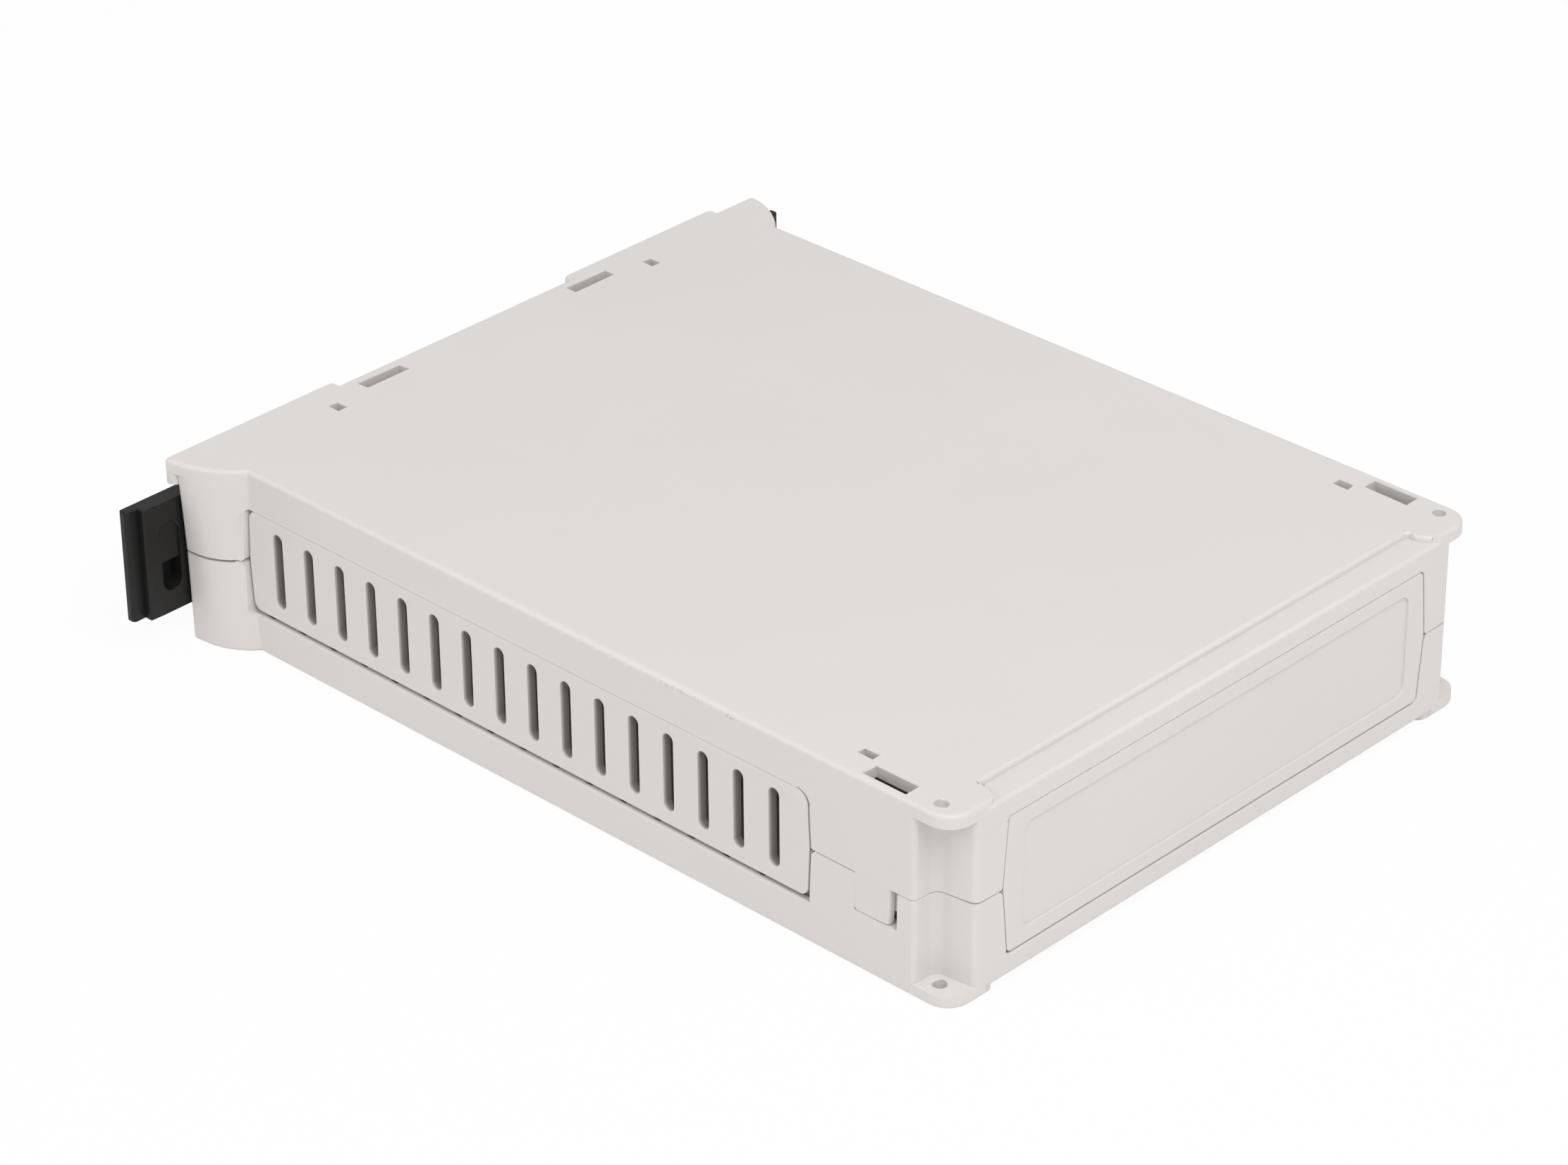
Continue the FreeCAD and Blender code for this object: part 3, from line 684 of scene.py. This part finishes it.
def folded_corners(made: bpy.types.Object, agreement: float = 0.3) -> np.ndarray:
    """Finds where the finished piece's triangles face against their own polygon.

    Args:
        made: The piece with its modifiers.
        agreement: Least cosine between a triangle's normal and its polygon's.

    Returns:
        Corners of the triangles that fall short of it.
    """
    mesh = made.evaluated_get(bpy.context.evaluated_depsgraph_get()).to_mesh()
    mesh.calc_loop_triangles()
    triangles = mesh.loop_triangles
    owner = read(triangles, "polygon_index", 1, np.int32)
    wanted = read(mesh.polygons, "normal", 3, float)[owner]
    agree = np.einsum("ij,ij->i", read(triangles, "normal", 3, float), wanted)
    corners = read(triangles, "vertices", 3, np.int32)
    return vertex_points(mesh)[corners[agree < agreement].ravel()]


class CornerTable:
    """Face corners of a mesh as arrays. A corner's edge runs from it to the next corner."""

    def __init__(self, mesh: bpy.types.Mesh) -> None:
        """Reads the mesh.

        Args:
            mesh: Any mesh. Corner i has edge[i], and ahead[i] and behind[i] are its face's
                corners beside it.
        """
        self.edge = read(mesh.loops, "edge_index", 1, np.int32)
        start = read(mesh.loops, "vertex_index", 1, np.int32)
        first = read(mesh.polygons, "loop_start", 1, np.int32)
        total = read(mesh.polygons, "loop_total", 1, np.int32)
        face = np.repeat(np.arange(len(total)), total)
        place = np.arange(len(start)) - first[face]
        self.ahead = first[face] + (place + 1) % total[face]
        self.behind = first[face] + (place - 1) % total[face]
        self.normal = read(mesh.polygons, "normal", 3, float)[face]
        points = vertex_points(mesh)
        along = points[start[self.ahead]] - points[start]
        self.length = np.linalg.norm(along, axis=1) + 1e-12
        self.unit = along / self.length[:, None]

    def turn(self, beside: np.ndarray) -> np.ndarray:
        """Sine of the angle between each corner's edge and the one beside it."""
        return np.linalg.norm(np.cross(self.unit, self.unit[beside]), axis=1)

    def room(self, beside: np.ndarray) -> np.ndarray:
        """How far the edge beside each corner's edge reaches away from its line."""
        return self.length[beside] * self.turn(beside)

    def course(self, beside: np.ndarray) -> np.ndarray:
        """Cosine of the angle between each corner's edge and the one beside it."""
        return np.einsum("ij,ij->i", self.unit, self.unit[beside])


@dataclass
class SoftenedSolid:
    """A moulding whose sharp edges get the small radius that every mould leaves."""

    node: str
    slot: Slot
    finish: MouldedFinish
    edge_width: float = 0.14 * MM
    edge_angle: float = 38.0
    flat_angle: float = 0.4
    steps: int = 2
    room_needed: float = 1.4
    least_turn: float = 0.25
    sharpest_course: float = -0.35
    free_reach: float = 3.0
    parting: PartingGap = PartingGap()
    parting_way: float = 0.0
    joints: Sequence[TightJoint] = ()
    changes: Sequence[RoundedEdges] = ()
    crisp: Sequence[Block] = ()

    def merged(self) -> bpy.types.Mesh:
        """Copies the node's mesh.

        Returns:
            The copy with its triangles merged, flat areas joined, broad roundings cut, and
            joints and parting gap as they show.
        """
        source = frame["nodes"][self.node].data
        triangles = read(source.loops, "vertex_index", 1, np.int32).reshape(-1, 3)
        points, faces = merge_equal(vertex_points(source), triangles.tolist())
        mesh = bpy.data.meshes.new(self.node + "_soft")
        mesh.from_pydata(points.tolist(), [], faces)
        mesh.update()
        work = bmesh.new()
        work.from_mesh(mesh)
        limit = math.radians(self.flat_angle)
        bmesh.ops.dissolve_limit(
            work, angle_limit=limit, verts=work.verts, edges=work.edges, delimit=set()
        )
        work.to_mesh(mesh)
        for change in self.changes:
            change.cut(work, edge_ends(mesh))
            work.to_mesh(mesh)
        work.free()
        points = vertex_points(mesh)
        for joint in self.joints:
            joint.draw(points)
        self.parting.open(points, self.parting_way)
        mesh.vertices.foreach_set("co", points.ravel())
        mesh.update()
        return mesh

    def edge_weights(self, mesh: bpy.types.Mesh, barred: np.ndarray) -> np.ndarray:
        """Which edges are rounded.

        Args:
            mesh: The merged mesh.
            barred: Edges that stay as sharp as the solid's.

        Returns:
            1 for an outward edge whose faces meet at more than the edge angle, with room for
            the radius on both sides and where its chain can run out, else 0.
        """
        corners = CornerTable(mesh)
        need = self.room_needed * self.edge_width
        edges = len(mesh.edges)
        normals = np.zeros((edges, 3))
        np.add.at(normals, corners.edge, corners.normal)
        across = np.cross(corners.normal, normals[corners.edge])
        closed_in = np.einsum("ij,ij->i", across, corners.unit) < 0.0
        for beside in (corners.behind, corners.ahead):
            short = corners.room(beside) < need
            closed_in |= (corners.turn(beside) > self.least_turn) & short
            closed_in |= corners.course(beside) < self.sharpest_course
        blocked = barred.copy()
        np.logical_or.at(blocked, corners.edge, closed_in)
        shared = np.bincount(corners.edge, minlength=edges) == 2
        meeting = np.einsum("ij,ij->i", normals, normals) / 2.0 - 1.0
        sharp = meeting < math.cos(math.radians(self.edge_angle))
        return self.whole_chains(corners, shared & sharp & ~blocked, need).astype(np.float32)

    @staticmethod
    def whole_chains(corners: CornerTable, rounded: np.ndarray, need: float) -> np.ndarray:
        """Frees edges until every chain of rounded ones can run out.

        Args:
            corners: Corners of the mesh.
            rounded: Flag of each edge that would be rounded.
            need: Room that a rounded edge needs beside it.

        Returns:
            The flags without edges that end at an unrounded neighbour with too little room.
        """
        short_ahead = corners.room(corners.ahead) < need
        short_behind = corners.room(corners.behind) < need
        for _ in range(len(rounded)):
            on = rounded[corners.edge]
            loose = on & ((~on[corners.ahead] & short_ahead) | (~on[corners.behind] & short_behind))
            if not loose.any():
                break
            rounded[corners.edge[loose]] = False
        return rounded

    def settle(self, made: bpy.types.Object, tries: int = 6) -> None:
        """Marks the rounded edges, and frees those again beside which a face would fold over.

        Args:
            made: The piece with its bevel.
            tries: Most rounds of marking and looking.
        """
        mesh = made.data
        mesh.attributes.new("bevel_weight_edge", "FLOAT", "EDGE")
        ends = edge_ends(mesh)
        barred = np.zeros(len(ends), bool)
        for block in self.crisp:
            barred |= block.holds(ends.mean(axis=1))
        for _ in range(tries):
            weights = self.edge_weights(mesh, barred)
            mesh.attributes["bevel_weight_edge"].data.foreach_set("value", weights)
            mesh.update()
            made.update_tag()
            spots = folded_corners(made)
            if not len(spots):
                break
            barred |= edges_near(ends, spots, self.free_reach * self.edge_width)

    def build(self) -> bpy.types.Object:
        """Makes the piece.

        Returns:
            The moulding, dressed and standing for its node.
        """
        mesh = self.merged()
        mesh.polygons.foreach_set("use_smooth", np.ones(len(mesh.polygons), bool))
        made = bpy.data.objects.new(self.node + "_soft", mesh)
        bpy.context.scene.collection.objects.link(made)
        bevel = made.modifiers.new("moulded edges", "BEVEL")
        bevel.limit_method = "WEIGHT"
        bevel.width = self.edge_width
        bevel.segments = self.steps
        bevel.use_clamp_overlap = False
        bevel.loop_slide = False
        self.settle(made)
        dress(made, self.finish, self.node)
        return made


@dataclass(frozen=True)
class Shading:
    """Normals that keep flat faces flat beside rounded edges: corners over the angle stay sharp."""

    angle: float = 35.0
    large_faces: int = 80

    def apply(self, made: bpy.types.Object) -> None:
        """Marks the sharp corners and adds the modifier that lets large faces lead.

        Args:
            made: The piece.
        """
        made.data.set_sharp_from_angle(angle=math.radians(self.angle))
        weighted = made.modifiers.new("flat faces stay flat", "WEIGHTED_NORMAL")
        weighted.keep_sharp = True
        weighted.weight = self.large_faces


def dress(made: bpy.types.Object, finish: MouldedFinish, node: str) -> None:
    """Gives a piece its finish and lets it stand for a node.

    Args:
        made: The piece.
        finish: Its finish.
        node: Node that it replaces, on whose body it rides.
    """
    Shading().apply(made)
    made.data.materials.append(finish.material())
    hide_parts(node)
    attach(made, frame["nodes"][node]["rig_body"])


# Panels


@dataclass
class FrontPanel:
    """Hexagonal front panel with a shallow label field and the flange behind its face."""

    front: float = 110.0 * MM
    rise: float = 0.10 * MM
    half_width: float = 33.35 * MM
    half_height: float = 7.9 * MM
    slant: float = 0.75 * MM
    corner: float = 0.6 * MM
    face_depth: float = 1.0 * MM
    flange_grow: float = 0.9 * MM
    flange_depth: float = 2.2 * MM
    edge: float = 0.08 * MM
    label_margin: float = 2.95 * MM
    label_half_height: float = 6.1 * MM
    label_corner: float = 1.2 * MM
    label_depth: float = 0.25 * MM
    label_edge: float = 0.09 * MM
    edge_steps: int = 4
    label_steps: int = 3
    side_points: int = 4
    top_points: int = 33
    first_share: float = 0.2
    last_share: float = 0.9
    finish: MouldedFinish = PANEL_FINISH

    def ring(self, shape: Outline, growth: float, depth: float) -> np.ndarray:
        """One closed line of the panel.

        Args:
            shape: Outline that it follows.
            growth: How far outside the outline it runs.
            depth: How far behind the face it lies.

        Returns:
            Points of the outline plus growth times its normals, in the case's frame.
        """
        across, height = shape.corner_centre(shape.radius)
        heights = np.linspace(self.first_share, self.last_share, self.side_points) * height
        tops = np.linspace(self.last_share, -self.last_share, self.top_points) * across
        points, normals = shape.ring(tops, heights, heights)
        flat = points + growth * normals
        outward = np.full(len(flat), self.front - depth)
        return np.stack([outward, CENTRE + flat[:, 0], self.rise + flat[:, 1]], axis=-1)

    def build(self) -> bpy.types.Object:
        """Makes the panel.

        Returns:
            The panel as a stack of rings: label floor and wall, face, rounded rim, wall,
            flange and back.
        """
        field_width = self.half_width - self.label_margin
        label = Outline(field_width, self.label_half_height, 0.0, self.label_corner)
        rim = Outline(self.half_width, self.half_height, self.slant, self.corner)
        rings = [self.ring(label, 0.0, self.label_depth)]
        for growth, depth in reversed(quarter_round(self.label_edge, self.label_steps)):
            rings.append(self.ring(label, -growth, depth))
        profile = quarter_round(self.edge, self.edge_steps)
        rings += [self.ring(rim, growth, depth) for growth, depth in profile]
        rings.append(self.ring(rim, 0.0, self.face_depth))
        rings.append(self.ring(rim, self.flange_grow, self.face_depth))
        rings.append(self.ring(rim, self.flange_grow, self.flange_depth))
        points = np.concatenate(rings)
        count = len(rings[0])
        faces = [face[::-1] for face in ring_faces(len(rings), count)]
        faces.append(list(range(count)))
        last = (len(rings) - 1) * count
        faces.append(list(range(last + count - 1, last - 1, -1)))
        points, faces = merge_equal(points, faces)
        made = mesh_object("front_panel_face", points, faces, True)
        dress(made, self.finish, "front_panel")
        return made


@dataclass
class VentPanel:
    """Slotted side panel: rounded rim, flange, thin web and a row of slots with eased edges."""

    side: Side
    face: float
    rear: float = 7.2 * MM
    front: float = 91.1 * MM
    half_height: float = 6.15 * MM
    rise: float = 0.25 * MM
    slant: float = 0.3 * MM
    corner: float = 1.1 * MM
    crest_corner: float = 1.7 * MM
    edge: float = 0.12 * MM
    face_depth: float = 1.0 * MM
    flange_grow: float = 1.05 * MM
    depth: float = 2.2 * MM
    web: float = 1.2 * MM
    rim: float = 0.95 * MM
    slots: int = 16
    pitch: float = 4.95 * MM
    slot_width: float = 1.5 * MM
    slot_length: float = 9.2 * MM
    slot_rise: float = 0.1 * MM
    slot_edge: float = 0.06 * MM
    cell_half_height: float = 5.05 * MM
    arc_steps: int = 12
    edge_steps: int = 4
    slot_steps: int = 3
    finish: MouldedFinish = VENT_FINISH

    def slot_ring(self, centre: float, growth: float) -> np.ndarray:
        """Outline of one slot, counter-clockwise from its right side's middle.

        Args:
            centre: X of the slot's centre.
            growth: How far outside the slot's own edge the line runs.

        Returns:
            Points of two half circles of radius half width plus growth, joined by straights.
        """
        radius = self.slot_width / 2.0 + growth
        straight = (self.slot_length - self.slot_width) / 2.0
        angles = np.linspace(0.0, math.pi, self.arc_steps + 1)
        arc = np.stack([radius * np.cos(angles), radius * np.sin(angles) + straight], axis=-1)
        right = np.array([[radius, -self.slot_rise]])
        half = np.concatenate([right, arc])
        lower = np.concatenate([-right + [0.0, -2 * self.slot_rise], -arc])
        return np.concatenate([half, lower]) + [centre, self.slot_rise]

    def cell_ring(self, centre: float) -> np.ndarray:
        """Border of the rectangular cell round one slot.

        Args:
            centre: X of the slot's centre.

        Returns:
            Points matched one by one to slot_ring's: up one side, along the top, down and back.
        """
        half = self.pitch / 2.0
        straight = (self.slot_length - self.slot_width) / 2.0
        third = self.arc_steps // 4
        stops = [0, third, self.arc_steps - third, self.arc_steps]
        index = np.arange(self.arc_steps + 1)
        top = self.cell_half_height
        level = self.slot_rise + straight
        upper_x = np.interp(index, stops, [half, half, -half, -half])
        upper_y = np.interp(index, stops, [level, top, top, level])
        level = self.slot_rise - straight
        lower_y = np.interp(index, stops, [level, -top, -top, level])
        upper = np.stack([upper_x, upper_y], axis=-1)
        lower = np.stack([-upper_x, lower_y], axis=-1)
        return np.concatenate([[[half, 0.0]], upper, [[-half, 0.0]], lower]) + [centre, 0.0]

    def place(self, flat: np.ndarray, depth: float | np.ndarray) -> np.ndarray:
        """Puts flat points, X and height above the panel's middle, at a depth behind its face."""
        across = self.face - self.side.value * np.broadcast_to(depth, len(flat))
        return np.stack([flat[:, 0], across, flat[:, 1] + self.rise], axis=-1)

    def slot_cells(self) -> tuple[list[np.ndarray], list[list[int]]]:
        """Face, slot edge, slot wall and back of every cell.

        Returns:
            Point arrays and quads: for each slot the rings run from the cell's border on the
            face over the rounded edge into the slot, through it, and out to the border behind.
        """
        middle = (self.rear + self.front) / 2.0
        centres = middle + (np.arange(self.slots) - (self.slots - 1) / 2.0) * self.pitch
        points: list[np.ndarray] = []
        faces: list[list[int]] = []
        start = 0
        for centre in centres:
            cell = self.cell_ring(centre)
            rings = [self.place(cell, 0.0)]
            for growth, depth in quarter_round(self.slot_edge, self.slot_steps):
                rings.append(self.place(self.slot_ring(centre, -growth), depth))
            rings.append(self.place(self.slot_ring(centre, 0.0), self.web))
            rings.append(self.place(cell, self.web))
            faces += ring_faces(len(rings), len(cell), start)
            points += rings
            start += len(rings) * len(cell)
        return points, faces

    def block_half(self, tops: np.ndarray, sides: np.ndarray, corner_points: int) -> np.ndarray:
        """Upper half of the border of the block of cells.

        Args:
            tops: X of the points along the top, from right to left.
            sides: Heights of the points on each side, rising.
            corner_points: How many points of the Outline's arc the block's corner stands for.

        Returns:
            Points matched one by one to half an Outline's.
        """
        block, top = self.slots * self.pitch / 2.0, self.cell_half_height
        side = np.stack([np.full(len(sides), block), sides], axis=-1)
        corner = np.tile([block, top], (corner_points, 1))
        flip = np.array([-1.0, 1.0])
        along = np.stack([tops, np.full(len(tops), top)], axis=-1)
        left = (side * flip)[::-1]
        return np.concatenate([[[block, 0.0]], side, corner, along, corner * flip, left])

    def border(self) -> tuple[np.ndarray, np.ndarray, np.ndarray]:
        """Outer outline of the panel and the cell border that faces it.

        Returns:
            Points and normals of the outline, relative to the panel's middle, and for each the
            point of the block of cells that it is joined to.
        """
        length = self.front - self.rear
        shape = Outline(length / 2.0, self.half_height, self.slant, self.corner, self.crest_corner)
        block = self.slots * self.pitch / 2.0
        third = self.arc_steps // 4
        tops = np.linspace(block, -block, self.slots * (self.arc_steps - 2 * third) + 1)
        straight = (self.slot_length - self.slot_width) / 2.0
        high = np.linspace(straight + self.slot_rise, self.cell_half_height, third + 1)[:-1]
        low = np.linspace(straight - self.slot_rise, self.cell_half_height, third + 1)[:-1]
        points, normals = shape.ring(tops, high, low)
        count = shape.corner_steps + 1
        upper = self.block_half(tops, high, count)
        return points, normals, np.concatenate([upper, -self.block_half(tops, low, count)])

    def build(self) -> bpy.types.Object:
        """Makes the panel.

        Returns:
            Cells, rim and flange as one closed skin, dressed and standing for its node.
        """
        points, faces = self.slot_cells()
        start = sum(len(ring) for ring in points)
        outline, normals, inner = self.border()
        middle = np.array([(self.rear + self.front) / 2.0, 0.0])
        profile = quarter_round(self.edge, self.edge_steps)
        profile += [(0.0, self.face_depth), (self.flange_grow, self.face_depth)]
        profile += [(self.flange_grow, self.depth), (-self.rim, self.depth), (-self.rim, self.web)]
        rings = [self.place(inner + middle, 0.0)]
        rings += [self.place(outline + growth * normals + middle, depth) for growth, depth in profile]
        rings.append(self.place(inner + middle, self.web))
        faces += [face[::-1] for face in ring_faces(len(rings), len(outline), start)]
        points += rings
        if self.side is Side.FAR:
            faces = [face[::-1] for face in faces]
        merged, faces = merge_equal(np.concatenate(points), faces)
        name = "vent_panel_" + self.side.name.lower()
        made = mesh_object(name + "_face", merged, faces, True)
        dress(made, self.finish, name)
        return made


# Sub-assemblies


@dataclass
class Case:
    """The two half shells with their front and vent panels."""

    tab_rear: Block = Block((0.09715, -0.0385, -0.00395), (0.09735, -0.0360, 0.0001))
    tab_rear_level: float = 97.27 * MM
    tab: Block = Block((0.0970, -0.0385, -0.0048), (0.1013, -0.0370, -0.0002))
    ledge_corner: Block = Block((0.1065, -0.0311, 0.0100), (0.1080, -0.0301, 0.0114))
    ledge_rim: Block = Block((0.1067, -0.0345, 0.01124), (0.10951, 0.0405, 0.0113))
    corner_radius: float = 0.38 * MM
    rim_radius: float = 0.42 * MM
    rim_segments: int = 3
    finish: MouldedFinish = SHELL_FINISH

    def eased_ledge(self) -> tuple[RoundedEdges, ...]:
        """The upper shell's ledge, its two inner corners rounded first and then its whole rim."""
        corners = [RoundedEdges(block, self.corner_radius) for block in self.ledge_corner.both_sides()]
        return (*corners, RoundedEdges(self.ledge_rim, self.rim_radius, self.rim_segments, False))

    def shell(self, name: str, way: float) -> bpy.types.Object:
        """One half shell.

        Args:
            name: Node that it stands for.
            way: 1 for the upper shell, whose ledge is eased, -1 for the lower one.

        Returns:
            The shell, drawn back from the parting plane, its tab joints tight and crisp.
        """
        solid = SoftenedSolid(name, Slot.SHELL, self.finish, parting_way=way)
        solid.joints = [TightJoint(block, self.tab_rear_level) for block in self.tab_rear.both_sides()]
        solid.crisp = self.tab.both_sides()
        solid.changes = self.eased_ledge() if way > 0 else ()
        return solid.build()

    def build(self) -> list[bpy.types.Object]:
        """Makes the shells and the panels.

        Returns:
            The pieces in the order they are made.
        """
        return [
            self.shell("upper_shell", 1.0),
            self.shell("lower_shell", -1.0),
            FrontPanel().build(),
            VentPanel(Side.NEAR, NEAR_FACE).build(),
            VentPanel(Side.FAR, FAR_FACE).build(),
        ]


@dataclass
class RailLatches:
    """The two black sliders."""

    finish: MouldedFinish = SLIDER_FINISH
    edge_width: float = 0.12 * MM

    def build(self) -> list[bpy.types.Object]:
        """Makes both sliders with softened edges."""
        names = ("rail_slider_near", "rail_slider_far")
        solids = [SoftenedSolid(name, Slot.SLIDER, self.finish, self.edge_width) for name in names]
        return [solid.build() for solid in solids]


# Studio


@dataclass
class Lamp:
    """Square soft lamp aimed at a point of the case."""

    name: str
    position: Point
    power: float
    size: float
    target: Point = (0.055, 0.003, 0.0)

    def build(self) -> bpy.types.Object:
        """Makes the lamp.

        Returns:
            The lamp, turned towards its target.
        """
        data = bpy.data.lights.new(self.name, "AREA")
        data.energy = self.power
        data.size = self.size
        made = bpy.data.objects.new(self.name, data)
        made.location = self.position
        aim = Vector(self.target) - Vector(self.position)
        made.rotation_euler = aim.to_track_quat("-Z", "Y").to_euler()
        bpy.context.scene.collection.objects.link(made)
        return made


@dataclass
class Studio:
    """White floor and surroundings, soft lamps and the camera."""

    floor_height: float = -11.3 * MM
    floor_half: float = 1.6
    floor_colour: Colour = (0.88, 0.88, 0.88)
    floor_glow: float = 0.94
    world_level: float = 0.63
    lamps: list[Lamp] = field(
        default_factory=lambda: [
            Lamp("key_lamp", (0.50, -0.20, 0.72), 3.35, 0.5),
            Lamp("fill_lamp", (-0.20, -0.60, 0.40), 0.61, 0.6),
        ]
    )
    camera_place: Point = (0.38291, -0.34272, 0.27430)
    camera_right: Point = (0.72147, 0.69241, -0.00733)
    camera_up: Point = (-0.34202, 0.36553, 0.86569)
    lens: float = 116.75
    sensor: float = 36.0
    clip_start: float = 0.01

    def white_seen(self, shader: Shader) -> Value:
        """Picks the rays that see the floor.

        Args:
            shader: The shader that it is added to.

        Returns:
            1 for rays from the camera, from gloss and through glass, else 0.
        """
        path = shader.node("ShaderNodeLightPath")
        seen, glossy, through = (
            Value(shader, path.outputs[f"Is {kind} Ray"]) for kind in ("Camera", "Glossy", "Transmission")
        )
        return (seen + glossy + through).held()

    def floor(self) -> bpy.types.Object:
        """Makes the floor.

        Returns:
            A square that looks white and still takes the case's shadow.
        """
        half, level = self.floor_half, self.floor_height
        signs = np.array([[-1, -1], [1, -1], [1, 1], [-1, 1]])
        corners = np.column_stack([signs * half, np.full(4, level)])
        made = mesh_object("floor", corners, [[0, 1, 2, 3]], False)
        shader = Shader("floor_paper")
        matte = shader.node("ShaderNodeBsdfDiffuse", None, {"Color": (*self.floor_colour, 1.0)})
        glow = shader.node("ShaderNodeEmission", None, {"Color": (1, 1, 1, 1), "Strength": 1.0})
        share = self.white_seen(shader) * self.floor_glow
        mixed = shader.node(
            "ShaderNodeMixShader", None, {0: share, 1: matte.outputs[0], 2: glow.outputs[0]}
        )
        shader.node("ShaderNodeOutputMaterial", None, {"Surface": mixed.outputs[0]})
        made.data.materials.append(shader.material)
        return made

    def world(self) -> None:
        """Plain white surroundings that light the case at a lower level than they are seen."""
        made = bpy.data.worlds.new("studio")
        made.use_nodes = True
        tree = made.node_tree
        background = tree.nodes["Background"]
        background.inputs["Color"].default_value = (1, 1, 1, 1)
        path = tree.nodes.new("ShaderNodeLightPath")
        mix = tree.nodes.new("ShaderNodeMapRange")
        mix.inputs["To Min"].default_value = self.world_level
        mix.inputs["To Max"].default_value = 1.0
        tree.links.new(path.outputs["Is Camera Ray"], mix.inputs["Value"])
        tree.links.new(mix.outputs[0], background.inputs["Strength"])
        bpy.context.scene.world = made

    def camera(self) -> bpy.types.Object:
        """Makes the camera.

        Returns:
            The camera at the photograph's angle, turned by its right and up directions.
        """
        data = bpy.data.cameras.new("camera")
        data.lens = self.lens
        data.sensor_width = self.sensor
        data.clip_start = self.clip_start
        made = bpy.data.objects.new("camera", data)
        right, up = Vector(self.camera_right), Vector(self.camera_up)
        turn = Matrix((right, up, right.cross(up))).transposed()
        made.matrix_world = Matrix.Translation(self.camera_place) @ turn.to_4x4()
        bpy.context.scene.collection.objects.link(made)
        bpy.context.scene.camera = made
        return made

    def build(self) -> None:
        """Makes the surroundings, the lamps and the camera."""
        self.floor()
        self.world()
        for lamp in self.lamps:
            lamp.build()
        self.camera()
        bpy.context.scene.view_settings.view_transform = "Standard"


def face_count(made: bpy.types.Object) -> int:
    """Number of faces of a piece after its modifiers."""
    evaluated = made.evaluated_get(bpy.context.evaluated_depsgraph_get())
    return len(evaluated.to_mesh().polygons)


def main() -> None:
    """Builds the sub-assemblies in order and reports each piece."""
    logging.basicConfig(level=logging.INFO, format="%(name)s: %(message)s")
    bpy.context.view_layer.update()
    builders: list[Callable[[], list[bpy.types.Object]]] = [Case().build, RailLatches().build]
    for build in builders:
        for made in build():
            log.info("%s: %d faces", made.name, face_count(made))
    Studio().build()


if __name__ == "__main__":
    main()
